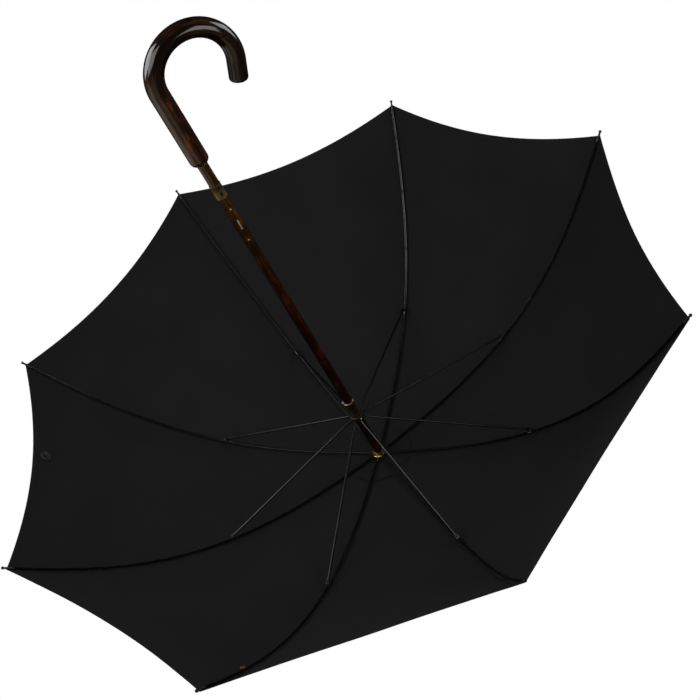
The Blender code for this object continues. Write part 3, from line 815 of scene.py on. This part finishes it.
def slotted_ring(name, low, high, pivot_z, upwards, material):
    """Turned ring with a slot for each eye, and the ring of wire that the eyes turn on."""
    bore, outer, floor, far = SHAFT_RADIUS + 0.0002, 0.0114, 0.0022, 0.02
    corners = [(bore, low), (outer, low), (outer, high), (bore, high)]
    ring = lathe(name, rounded(corners, 0.0007), material, 96)
    below, above = (floor, far) if upwards else (far, floor)
    cut_away(ring, [
        spun(block("slot", (0.0079, -0.00105, pivot_z - below), (far, 0.00105, pivot_z + above),
                   material), rib)
        for rib in range(RIBS)
    ])
    wire = lathe("wire", round_loop(0.0004, 10, PIVOT_RADIUS, pivot_z), "rib", 72)
    return joined(name + "_wired", [ring, wire])


def make_crown():
    crown = slotted_ring("crown_ring", CROWN_Z - 0.0040, CROWN_Z + 0.0038, CROWN_Z, False, "brass")
    finish_piece(crown, "shaft_assembly", "brass", "crown")


def make_runner():
    """Slotted ring with a bead on its wire, and the brass sleeve with its window and rolled rim."""
    notch = slotted_ring("runner_ring", RUNNER_Z - 0.0060, RUNNER_Z + 0.0035, RUNNER_Z, True,
                         "enamel")
    finish_piece(notch, "runner", "black_metal", "runner_notch")
    bead = lathe("wire_lock", ball(0.0014, 0.0014, 10), "brass", 24,
                 (PIVOT_RADIUS + 0.0021, 0, RUNNER_Z - 0.0010), False)
    finish_piece(spun(bead, BEAD_AT), "runner", "brass")
    bore, wall, lip, lip_height = SHAFT_RADIUS + 0.0002, 0.0084, 0.0095, 0.0022
    top, rim = RUNNER_Z - 0.0063, RUNNER_RIM_Z
    roll = [(wall + (lip - wall) * out, rim + lip_height * up) for out, up in bulge(12)[1:-1]]
    grooves = []
    for height in (top - 0.0060, top - 0.0046):
        grooves += [(wall, height - 0.0004), (wall - 0.0002, height), (wall, height + 0.0004)]
    profile = [(bore, rim), (wall, rim), *roll, (wall, rim + lip_height), *grooves,
               (wall, top - 0.0004), (wall - 0.0004, top), (bore, top)]
    sleeve = lathe("runner_tube", profile, "old_brass", 96)
    closed_z = CROWN_Z - (2 * (JOINT_PIVOT - CROWN_PIVOT).length
                          * math.cos(math.radians(CLOSED_LEAN)))
    catch = BOTTOM_CATCH_Z + RUNNER_Z - closed_z
    window = block("window", (0.004, -0.0015, catch - 0.0007), (0.014, 0.0015, catch + 0.0115),
                   "old_brass", 0.0005)
    cut_away(sleeve, [turned(window, BOTTOM_SPRING_AZIMUTH)])
    finish_piece(sleeve, "runner", "brass", "runner_sleeve")
    profile = [(wall + 0.0001 + 0.0010 * out, rim + 0.0001 + 0.0020 * up) for out, up in bulge(10)]
    profile += [(wall, rim + 0.0021), (wall, rim + 0.0001)]
    finish_piece(lathe("runner_rim", profile, "brass", 96), "runner", "brass")


def make_ferrule():
    """Cap over the canopy's middle and the spike that the closed umbrella stands on."""
    base, bore, bore_top = CROWN_Z + 0.0078, SHAFT_RADIUS + 0.0002, CROWN_Z + 0.0375
    spike = [(0, 0), (0.0040, 0), (0.0047, 0.0004), (0.0050, 0.0012), (0.0053, 0.0120),
             (0.0056, 0.0126), (0.0056, 0.0140), (0.0060, 0.0148)]     # radius, below the top
    cup = [(0.0078, 0.0060), (0.0086, 0.0010), (0.0092, -0.0040)]      # radius, above the bore
    cap = [(0.0092, 0.0120), (0.0096, 0.0105), (0.0096, 0.0090), (0.0100, 0.0070),
           (0.0115, 0.0048), (0.0140, 0.0032), (0.0158, 0.0020), (0.0165, 0.0010),
           (0.0165, 0), (bore, 0)]                                     # radius, above the base
    outline = [(radius, FERRULE_TOP_Z - z) for radius, z in spike]
    outline += [(radius, bore_top + z) for radius, z in cup]
    outline += [(radius, base + z) for radius, z in cap] + [(bore, bore_top), (0, bore_top)]
    ferrule = lathe("spike", outline, "enamel", 72, closed=False)
    finish_piece(ferrule, "shaft_assembly", "black_metal", "ferrule")


# Ribs, stretchers and tips


def eye(name, pivot, into, material):
    """Flat tongue with a round eye: a ring and a neck that runs into the bar."""
    half, hole, outer = EYE_THICKNESS / 2, 0.00075, 0.00145
    corners = [(hole, -half), (outer, -half), (outer, half), (hole, half)]
    ring = lathe(name + "_eye", rounded(corners, 0.0002, 2), material, 28)
    ring.data.transform(Matrix.Translation(pivot) @ Matrix.Rotation(math.pi / 2, 4, "X"))
    neck = block(name + "_neck", (0.0011, -half, -0.0011), (TONGUE_LENGTH + 0.0016, half, 0.0011),
                 material)
    lean = Matrix.Rotation(math.atan2(-into.z, into.x), 4, "Y")
    neck.data.transform(Matrix.Translation(pivot) @ lean)
    return [ring, neck]


def fluted(outer, inner, scale):
    """A fluted steel section in metres, from half its outside and half its groove in millimetres.
    Both halves end on the middle line and are mirrored over it."""
    loop = []
    for half in (outer, inner):
        loop += half + [(-a, b) for a, b in half[-2::-1]]
    return [(a * scale * 0.001, b * scale * 0.001) for a, b in loop]


def rib_profile(scale):
    """With its groove underneath."""
    return fluted([(-1.55, -1.35), (-1.62, 0.9), (-1.35, 1.5), (-0.75, 1.95), (0, 2.1)],
                  [(1.15, -1.35), (1.12, 0.7), (0.7, 1.2), (0, 1.4)], scale)


def stretcher_profile(scale):
    """With its round side underneath and its groove towards the rib."""
    return fluted([(-1.40, 1.25), (-1.45, -0.4), (-1.15, -1.0), (-0.6, -1.4), (0, -1.5)],
                  [(0.95, 1.25), (0.95, -0.2), (0.5, -0.75), (0, -0.9)], scale)


def make_rib(rib):
    """One springy fluted rib from the crown to its tip, made as one piece that does not bend; the
    real rib bends just outside the joint.
    """
    start, end, taper = TONGUE_LENGTH, RIB_LENGTH - 0.0085, 0.18
    spots = np.concatenate([np.linspace(start, 0.255, 30), np.linspace(0.26, 0.31, 21)[1:],
                            np.linspace(0.32, end, 34)])
    centres = [rib_spot(along) for along in spots]
    loops = [rib_profile(1 - taper * (along - start) / (end - start)) for along in spots]
    bar = swept("bar", centres, [rib_axes(along)[0] for along in spots], loops, "rib")
    joint, x = rib_spot(JOINT_AT), JOINT_PIVOT.x
    tab = block("tab", (x - 0.0022, -0.00055, JOINT_PIVOT.z - 0.0016),
                (x + 0.0022, 0.00055, joint.z + 0.001), "rib")
    clip = block("clip", (x - 0.0060, -0.0020, joint.z - 0.0021),
                 (x + 0.0050, 0.0020, joint.z + 0.0016), "rib", 0.0005)
    middle = Matrix.Translation(joint)
    tilt = Matrix.Rotation(float(rib_slope(JOINT_AT)), 4, "Y")
    clip.data.transform(middle @ tilt @ middle.inverted())
    crown_eye = eye("rib", CROWN_PIVOT, centres[0] - CROWN_PIVOT, "rib")
    whole = spun(joined(f"rib_rod_{rib + 1}", [sharpen(bar, 50), *crown_eye, tab, clip]), rib)
    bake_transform(whole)
    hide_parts(f"rib_inner_{rib + 1}", f"rib_outer_{rib + 1}")


def make_stretcher(rib):
    """Fluted strut from the runner to the rib, with a riveted fork at the rib."""
    along = RUNNER_PIVOT - JOINT_PIVOT
    length = along.length
    along.normalize()
    up = SIDEWAYS.cross(along)
    if up.z < 0:
        up = -up
    places = [0.0050, 0.0080, 0.0120, *(0.02 + (length - 0.04) * i / 12 for i in range(13)),
              length - 0.012, length - TONGUE_LENGTH]
    count = len(places)
    loops = [stretcher_profile(0.90 if i in (0, count - 1) else 1.0) for i in range(count)]
    centres = [JOINT_PIVOT + along * place for place in places]
    bar = swept("strut", centres, [up] * count, loops, "stretcher")
    pieces = [sharpen(bar, 50), *eye("strut", RUNNER_PIVOT, -along, "stretcher")]
    lean = Matrix.Rotation(math.atan2(-along.z, along.x), 4, "Y")
    rivet = [(0, 0.0008), (0.0006, 0.0007), (0.0011, 0.0004), (0.0013, 0.0), (0, 0.0)]
    for side in (-1, 1):
        low, high = sorted((side * 0.0010, side * 0.0020))
        cheek = block("cheek", (-0.0016, low, -0.0016), (0.0072, high, 0.0016), "stretcher",
                      0.0004)
        cheek.data.transform(Matrix.Translation(JOINT_PIVOT) @ lean)
        head = lathe("rivet", rivet, "old_brass", 20, closed=False)
        head.data.transform(Matrix.Translation(JOINT_PIVOT + side * 0.0020 * SIDEWAYS)
                            @ Matrix.Rotation(-side * math.pi / 2, 4, "X"))
        pieces += [cheek, head]
    whole = spun(joined(f"stretcher_rod_{rib + 1}", pieces), rib)
    finish_piece(whole, f"stretcher_{rib + 1}", "black_steel", f"stretcher_{rib + 1}")


def make_tip(rib):
    """Turned metal cup on the rib's end, drawn out to a ball."""
    start, end = rib_spot(RIB_LENGTH - 0.0105), rib_spot(RIB_LENGTH + 0.0085)
    length, radius = (end - start).length, 0.0023
    outline = [(0, 0), (0.0019, 0), (0.00215, 0.0004), (0.00215, 0.0014), (0.0019, 0.0018),
               (0.0018, 0.0080), (0.0020, 0.0092), (0.0018, 0.0104), (0.0016, 0.0116),
               (0.0015, 0.0128)]
    outline += [(radius * math.sin(turn), length - radius * (1 + math.cos(turn)))
                for turn in (math.pi * (0.78 - 0.078 * i) for i in range(10))] + [(0, length)]
    tip = lathe(f"tip_{rib + 1}", outline, "enamel", 28, closed=False)
    aim = Vector((0, 0, 1)).rotation_difference(end - start).to_matrix().to_4x4()
    tip.data.transform(Matrix.Translation(start) @ aim)
    finish_piece(spun(tip, rib), f"rib_end_{rib + 1}", "black_metal", f"rib_tip_{rib + 1}")


# Cloth


def half_grid(along, across, side, gore, rise=0.0):
    """Points, normals and both UV maps of half a sector; along and across make a 2-D grid."""
    along, across = np.broadcast_arrays(along, across)
    width = half_width(along)
    from_mid = -side * (1 - np.abs(across)) * width
    weave = np.stack([from_mid + 0.83 * gore, along], axis=-1)
    edges = np.stack([np.abs(across) * width, hem_at(across) - along], axis=-1)
    return (cloth(along, across, gore, rise).reshape(-1, 3),
            cloth_normal(along, across, gore, side).reshape(-1, 3),
            weave.reshape(-1, 2), edges.reshape(-1, 2))


def with_fold(main, fold):
    """A grid that runs on into a fold underneath it, which faces down."""
    points, normals, *maps = fold
    return tuple(np.concatenate(pair) for pair in zip(main, (points, -normals, *maps)))


def grid_faces(rows, columns, offset, side):
    faces = []
    for i in range(rows - 1):
        for j in range(columns - 1):
            a, b = offset + i * columns + j, offset + (i + 1) * columns + j
            faces.append((a, b, b + 1, a + 1) if side > 0 else (a, a + 1, b + 1, b))
    return faces


def cloth_piece(name, grids, columns=COLUMNS, material="canopy"):
    """One mesh from (grid, side) pairs of the same number of columns."""
    faces, offset = [], 0
    for grid, side in grids:
        faces += grid_faces(len(grid[0]) // columns, columns, offset, side)
        offset += len(grid[0])
    points, normals, weave, edges = (np.concatenate(p) for p in zip(*(grid for grid, _ in grids)))
    obj = add_mesh(name, points, faces, material, normals)
    corners = np.empty(len(obj.data.loops), int)
    obj.data.loops.foreach_get("vertex_index", corners)
    for map_name, values in (("weave", weave), ("edges", edges)):
        layer = obj.data.uv_layers.new(name=map_name)
        layer.data.foreach_set("uv", values[corners].astype(np.float32).reshape(-1))
    return obj


def spaced_across(side, columns=COLUMNS):
    """From the rib to mid-gore, closer together beside the rib."""
    return side * np.linspace(0, 1, columns) ** 1.35


def column(*values):
    return np.array(values)[:, None]


def inner_half(side, gore, start, end):
    """Part of the cloth between the crown and the seam at the rib's bend, as shares of that length.
    The last part has a lap that runs on above the outer cloth."""
    across = spaced_across(side)
    seam = seam_at(across)
    share = start + (end - start) * np.linspace(0, 1, 4 + int(32 * (end - start)))[:, None]
    grids = [(half_grid(share * seam, across, side, gore), side)]
    if end == 1:
        reach = 0.003 + 0.62 * (rib_curve(FLEX_AT)[1] - rib_curve(seam)[1])
        lap = column(0.0, 0.12, 0.4, 0.7, 1.0)
        lift = 0.00025 * np.minimum(1, lap / 0.12)
        grids.append((half_grid(seam + reach * lap, across, side, gore, lift), side))
    return grids


def outer_half(side, gore):
    """From the seam at the rib's bend to the hem, which is folded under."""
    across = spaced_across(side)
    seam, hem = seam_at(across), hem_at(across)
    main = half_grid(seam + (hem - seam) * np.linspace(0, 1, 46)[:, None], across, side, gore)
    back = column(0.0, 0.0002, 0.0006, 0.0056, 0.0060)
    drop = column(-0.0002, -0.00045, -0.00055, -0.0005, -0.00005)
    return [(with_fold(main, half_grid(hem - back, across, side, gore, drop)), side)]


def fold_in(obj):
    """Gives a cloth piece its own copy of its mesh; nothing here draws it in as the rib folds."""
    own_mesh(obj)
    return obj


def seam_strip(name, rib, start, end):
    """Felled seam under the cloth, along the rib: a narrow doubled strip."""
    spots = np.linspace(start, end, 40)
    section = [(-4.2, -0.05), (-4.0, -0.45), (-2.2, -0.6), (0, -0.6), (2.2, -0.6), (4.0, -0.45),
               (4.2, -0.05)]     # across and up, in millimetres
    points = []
    for along in spots:
        width = float(half_width(along))
        for mm, rise in section:
            share = math.copysign(min(0.95, abs(mm) * 0.001 / width), mm)
            points.append(cloth(along, share, rib, rise * 0.001))
    strip = add_mesh(name, points, grid_faces(len(spots), len(section), 0, -1), "band")
    layer = strip.data.uv_layers.new(name="weave")
    for loop in strip.data.loops:
        co = strip.data.vertices[loop.vertex_index].co
        layer.data[loop.index].uv = (co.y, co.x)
    return strip


def make_sector(rib):
    """The canopy over one rib: two half gores sewn at the rib, split where the rib bends. The inner
    cloth is in bands, and its middle stays on the crown."""
    inner_body, outer_body = f"rib_{rib + 1}", f"rib_end_{rib + 1}"

    def sheet(name, half, *span):
        return spun(cloth_piece(name, half(-1, (rib - 1) % RIBS, *span) + half(1, rib, *span)), rib)

    centre = sheet(f"canopy_centre_{rib + 1}", inner_half, 0.0, CENTRE_END)
    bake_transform(centre)
    for number, (start, end, keep) in enumerate(INNER_BANDS):
        last = end == 1
        band = sheet(f"canopy_inner_cloth_{rib + 1}_{number + 1}", inner_half, start, end)
        fold_in(band)
        nodes = [f"canopy_inner_{rib + 1}"] if last else []
        finish_piece(band, inner_body, "black_cloth", *nodes)
    outer = fold_in(sheet(f"canopy_outer_cloth_{rib + 1}", outer_half))
    finish_piece(outer, outer_body, "black_cloth", f"canopy_outer_{rib + 1}")
    for part, body, start, end in (
        ("inner", inner_body, 0.012, FLEX_AT), ("outer", outer_body, FLEX_AT, RIB_LENGTH - 0.004),
    ):
        felled = spun(seam_strip(f"seam_{part}_{rib + 1}", rib, start, end), rib)
        finish_piece(fold_in(felled), body, "black_cloth")


def make_petal(rib):
    """One eighth of the rosette, the small round cloth between the ribs and the canopy, with a
    folded edge."""
    columns, start, reach = 12, 0.0015, ROSETTE_RADIUS - PIVOT_RADIUS
    back, drop = column(-0.0002, 0.0, 0.0018, 0.0020), column(-0.0014, -0.0018, -0.0018, -0.0013)
    grids = []
    for side in (-1, 1):
        across = spaced_across(side, columns)
        main = half_grid(np.linspace(start, reach, 12)[:, None], across, side, rib, -0.0012)
        grids.append((with_fold(main, half_grid(reach - back, across, side, rib, drop)), side))
    petal = spun(cloth_piece(f"rosette_petal_{rib + 1}", grids, columns, "lining"), rib)
    fold_in(petal)
    finish_piece(petal, f"rib_{rib + 1}", "black_cloth", *(["rosette"] if rib == 0 else []))


def make_patch(rib):
    """Small cloth that keeps a stretcher's joint off the canopy, caught down at its corners."""
    rows, columns = 11, 9
    half_wide, start, end = 0.0085, JOINT_AT - 0.015, JOINT_AT + 0.011
    mm = np.linspace(0, half_wide, columns)
    along = np.linspace(start, end, rows)[:, None]
    curl = -0.0011 - 0.0007 * (np.abs(np.linspace(-1, 1, rows))[:, None] ** 4) * (mm / half_wide)
    inset = 0.0020            # of the stitches
    from_side = half_wide - mm + SEAM_ROW - inset
    from_end = np.minimum(along - start, end - along) + HEM_ROW - inset
    edges = np.stack(np.broadcast_arrays(from_side, from_end), axis=-1).reshape(-1, 2)
    grids = []
    for side in (-1, 1):
        points, normals, weave, _ = half_grid(along, side * mm / half_width(along), side, rib, curl)
        grids.append(((points, normals, weave, edges), side))
    patch = spun(cloth_piece(f"joint_patch_{rib + 1}", grids, columns, "lining"), rib)
    finish_piece(fold_in(patch), f"rib_{rib + 1}", "black_cloth")


def make_ties(rib):
    """Turns of thread that hold the canopy to the rib, with a knot beside it."""
    for number, along in enumerate(TIES_AT):
        up, ahead = rib_axes(along)
        points = []
        for i in range(61):
            turn = 2 * math.pi * i / 20
            wide, tall = 0.00195 * math.cos(turn), 0.0027 * math.sin(turn) + 0.0010
            points.append(rib_spot(along) + SIDEWAYS * wide + up * tall
                          + ahead * 0.0021 * (i / 60 - 0.5))
        knot = lathe("knot", ball(0.0008, 0.0006, 8), "thread", 12, closed=False)
        knot.data.transform(Matrix.Translation(points[0] + SIDEWAYS * 0.0003))
        turns = rod("turns", points, 0.00032, "thread", 6)
        tie = spun(joined(f"thread_tie_{rib + 1}_{number + 1}", [turns, knot]), rib)
        finish_piece(tie, f"rib_end_{rib + 1}", "black_cloth")


def make_strap(rib=3):
    """Doubled band that ties the closed umbrella, with a brass snap at its free end."""
    half_wide, thick = STRAP_WIDTH / 2, STRAP_THICKNESS
    side_inset, end_inset = 0.0012, 0.0020     # of the stitches
    low, high = STRAP_FROM_TIP + 0.0005, STRAP_FROM_TIP + STRAP_LENGTH
    spots = np.linspace(RIB_LENGTH - high, RIB_LENGTH - low, 36)
    centres, loops = [], []
    for along in spots:
        sway = 0.0002 * math.sin(2 * math.pi * (along - spots[0]) / 0.055)
        centres.append(rib_spot(along, -STRAP_DROP + sway))
        near_end = min(along - spots[0], spots[-1] - along)
        wide = half_wide - 0.0018 * max(0.0, 1 - near_end / 0.0030) ** 2
        top = [(-wide, 0), (-wide + 0.0004, thick * 0.5), (0, thick * 0.62),
               (wide - 0.0004, thick * 0.5)]
        loops.append(top + [(-a, -b) for a, b in top])
    ups = [rib_axes(along)[0] for along in spots]
    strap = swept("tie_strap_band", centres, ups, loops, "strap")
    weave, edges = (strap.data.uv_layers.new(name=name) for name in ("weave", "edges"))
    for loop in strap.data.loops:
        co = strap.data.vertices[loop.vertex_index].co
        run = (co - centres[0]).length
        weave.data[loop.index].uv = (co.y, run)
        edges.data[loop.index].uv = (half_wide - abs(co.y) + SEAM_ROW - side_inset,
                                     min(run, STRAP_LENGTH - run) + HEM_ROW - end_inset)
    ring = lathe("snap", [(0.0016, 0.0), (0.0038, 0.0), (0.0040, 0.0004), (0.0037, 0.0009),
                          (0.0030, 0.0012), (0.0022, 0.0011), (0.0017, 0.0006)], "snap", 40)
    cup = lathe("cup", [(0, 0.0003), (0.0012, 0.0003), (0.0017, 0.0001), (0.0017, -0.0002),
                        (0, -0.0002)], "old_brass", 28, closed=False)
    along = float(spots[0]) + 0.0075
    up, ahead = rib_axes(along)
    place = facing(ahead, (-up).cross(ahead), -up, rib_spot(along, -STRAP_DROP - thick * 0.60))
    for piece in (ring, cup):
        piece.data.transform(place)
    finish_piece(spun(strap, rib), "tie_strap", "black_cloth", "tie_strap")
    snap = spun(joined("strap_snap", [ring, cup]), rib)
    finish_piece(snap, "tie_strap", "brass")


def cloth_frame(along, across, gore, side, rise):
    """A place on the cloth's underside: X along the rib, Z away from the cloth, downwards."""
    before, here, after = (Vector(map(float, cloth(at, across, gore, rise)))
                           for at in (along - 0.001, along, along + 0.001))
    x = (after - before).normalized()
    z = -Vector(map(float, cloth_normal(along, across, gore, side)))
    y = z.cross(x).normalized()
    return facing(x, y, x.cross(y), here)


def make_button(rib=5):
    """Round button sewn near the hem of one gore, where the strap is fastened."""
    along, across, hole_at = 0.5775, -0.88, 0.0011
    profile = [(0.0, 0.0007), (0.0046, 0.0007), (0.0058, 0.0013), (0.0074, 0.0019),
               (0.0083, 0.0015), (0.0087, 0.0008), (0.0084, -0.0001), (0, -0.0001)]
    disc = lathe("disc", profile, "button", 48, closed=False)
    hole = [(0, -0.001), (0.0005, -0.001), (0.0005, 0.003), (0, 0.003)]
    cut_away(disc, [lathe("hole", hole, "button", 12, (x, y, 0), False)
                    for y in (-hole_at, hole_at) for x in (-hole_at, hole_at)])
    pieces = [disc]
    for way in (1, -1):
        start, end = Vector((-hole_at, -hole_at * way, 0)), Vector((hole_at, hole_at * way, 0))
        up = Vector((0, 0, 0.0009))
        line = [start, start * 0.9 + up, end * 0.9 + up, end]
        pieces.append(rod("stitch", line, 0.0003, "thread", 8))
    button = joined("hem_button", pieces)
    button.data.transform(cloth_frame(along, across, (rib - 1) % RIBS, -1, -0.0006))
    fold_in(spun(button, rib))
    finish_piece(button, f"rib_end_{rib + 1}", "black_cloth")


make_handle()
make_shaft()
make_collar()
make_band()
# The top spring is painted dark, as shade, all along; the bottom one for half its length from its
# step.
make_spring("top_catch", RUNNER_RIM_Z - SPRING_LENGTH, RUNNER_RIM_Z - GAP, TOP_SPRING_AZIMUTH,
            "top_spring", 1.1)
make_spring("bottom_catch", BOTTOM_CATCH_Z + SPRING_LENGTH, BOTTOM_CATCH_Z, BOTTOM_SPRING_AZIMUTH,
            "bottom_spring", 0.50)
make_pin(BOTTOM_SPRING_AZIMUTH + 3, BOTTOM_CATCH_Z + 0.0588)
make_crown()
make_runner()
make_ferrule()
for index in range(RIBS):
    for make in (make_rib, make_stretcher, make_tip, make_sector, make_petal, make_patch,
                 make_ties):
        make(index)
make_strap()
make_button()


# Floor, light and camera

FLOOR_Z, FLOOR_RADIUS = -2.3, 60
WORLD_FILL = 0.03
BOX_DISTANCE = 1.15
CEILING_Z, CEILING_SIZE, CEILING_RADIANCE = 9.0, 200, 0.54
LENS, SENSOR_WIDTH = 61.80, 36.0
VIEW_PLACE = (-0.1554, 1.3069, -0.767)
VIEW_SHIFT = (-0.0018, -0.0041)
VIEW_RIGHT = Vector((0.8009, 0.47025, 0.37072)).normalized()
VIEW_AHEAD = Vector((0.11238, -0.72613, 0.67831)).normalized()
VIEW_UP = VIEW_RIGHT.cross(VIEW_AHEAD)
CROOK_TOP = Vector((0.045, 0, -0.085))


def make_floor():
    bm = bmesh.new()
    bmesh.ops.create_circle(bm, cap_ends=True, segments=96, radius=FLOOR_RADIUS)
    floor = from_bmesh("floor", bm)
    floor.location.z = FLOOR_Z
    floor.visible_glossy = False
    paint = Paint("pale_floor", Roughness=0.9, Base_Color=(0.82, 0.82, 0.82, 1))
    floor.data.materials.append(paint.material)


def make_light(name, place, target, size, radiance, upright=VIEW_UP):
    """A soft box of a given size and brightness."""
    data = bpy.data.lights.new(name, "AREA")
    data.shape, (data.size, data.size_y) = "RECTANGLE", size
    data.energy = radiance * math.pi * size[0] * size[1]
    light = placed(name, data)
    back = (place - target).normalized()
    up = (upright - back * upright.dot(back)).normalized()
    light.matrix_world = facing(up.cross(back), up, back, place)
    light.visible_camera = False
    return light


def soft_box(name, azimuth, elevation, wide, tall, radiance):
    """A soft box that faces the crook: azimuth to the right of the camera, elevation up from the
    camera's level, sizes as angles."""
    azimuth, elevation = math.radians(azimuth), math.radians(elevation)
    level = VIEW_RIGHT * math.sin(azimuth) - VIEW_AHEAD * math.cos(azimuth)
    way = level * math.cos(elevation) + VIEW_UP * math.sin(elevation)
    size = [2 * BOX_DISTANCE * math.tan(math.radians(angle) / 2) for angle in (wide, tall)]
    return make_light(name, CROOK_TOP + way * BOX_DISTANCE, CROOK_TOP, size, radiance)


def make_lights():
    """Boxes on the left and right for the handle's gloss, dim warm ones below and a ceiling."""
    soft_box("left_box", -83, 6, 44, 44, 5.2).visible_diffuse = False
    soft_box("left_front_box", -43, -14, 42, 38, 2.8).visible_diffuse = False
    soft_box("right_high_box", 92, 33, 34, 29, 4.0)
    soft_box("right_front_box", 53, -11, 24, 32, 2.8)
    for blue, *box in (
        (0.72, "low_left_box", -118, -46, 60, 44, 0.40),
        (0.72, "low_left_box_near", -108, -58, 50, 40, 0.24),
        (0.64, "low_box", -60, -80, 66, 56, 0.24), (0.55, "low_box_near", 45, -66, 44, 34, 0.14),
    ):
        light = soft_box(*box)
        light.visible_diffuse = False
        light.data.color = (1.0, 0.5 + 0.5 * blue, blue)
    ceiling = make_light("ceiling", Vector((0, 0, CEILING_Z)), Vector((0, 0, 0)),
                         (CEILING_SIZE, CEILING_SIZE), CEILING_RADIANCE, SIDEWAYS)
    ceiling.visible_glossy = False


def make_world():
    """White to the camera, a faint warm fill to everything else."""
    world = bpy.data.worlds.new("studio")
    world.use_nodes = True
    tree = world.node_tree
    seen = tree.nodes["Background"]
    seen.inputs["Color"].default_value = (1, 1, 1, 1)
    seen.inputs["Strength"].default_value = 1.0
    fill = node(tree, "Background", {"Color": (1.0, 0.90, 0.80, 1), "Strength": WORLD_FILL})
    direct = node(tree, "LightPath").outputs["Is Camera Ray"]
    mix = node(tree, "MixShader", {0: direct, 1: fill.outputs[0], 2: seen.outputs[0]})
    tree.links.new(mix.outputs[0], tree.nodes["World Output"].inputs["Surface"])
    bpy.context.scene.world = world


def make_camera():
    data = bpy.data.cameras.new("camera")
    data.lens, data.sensor_width, data.clip_end = LENS, SENSOR_WIDTH, 300
    data.shift_x, data.shift_y = VIEW_SHIFT
    camera = placed("camera", data)
    camera.matrix_world = facing(VIEW_RIGHT, VIEW_UP, -VIEW_AHEAD, VIEW_PLACE)
    bpy.context.scene.camera = camera


make_floor()
make_lights()
make_world()
make_camera()
bpy.context.scene.view_settings.view_transform = "Standard"
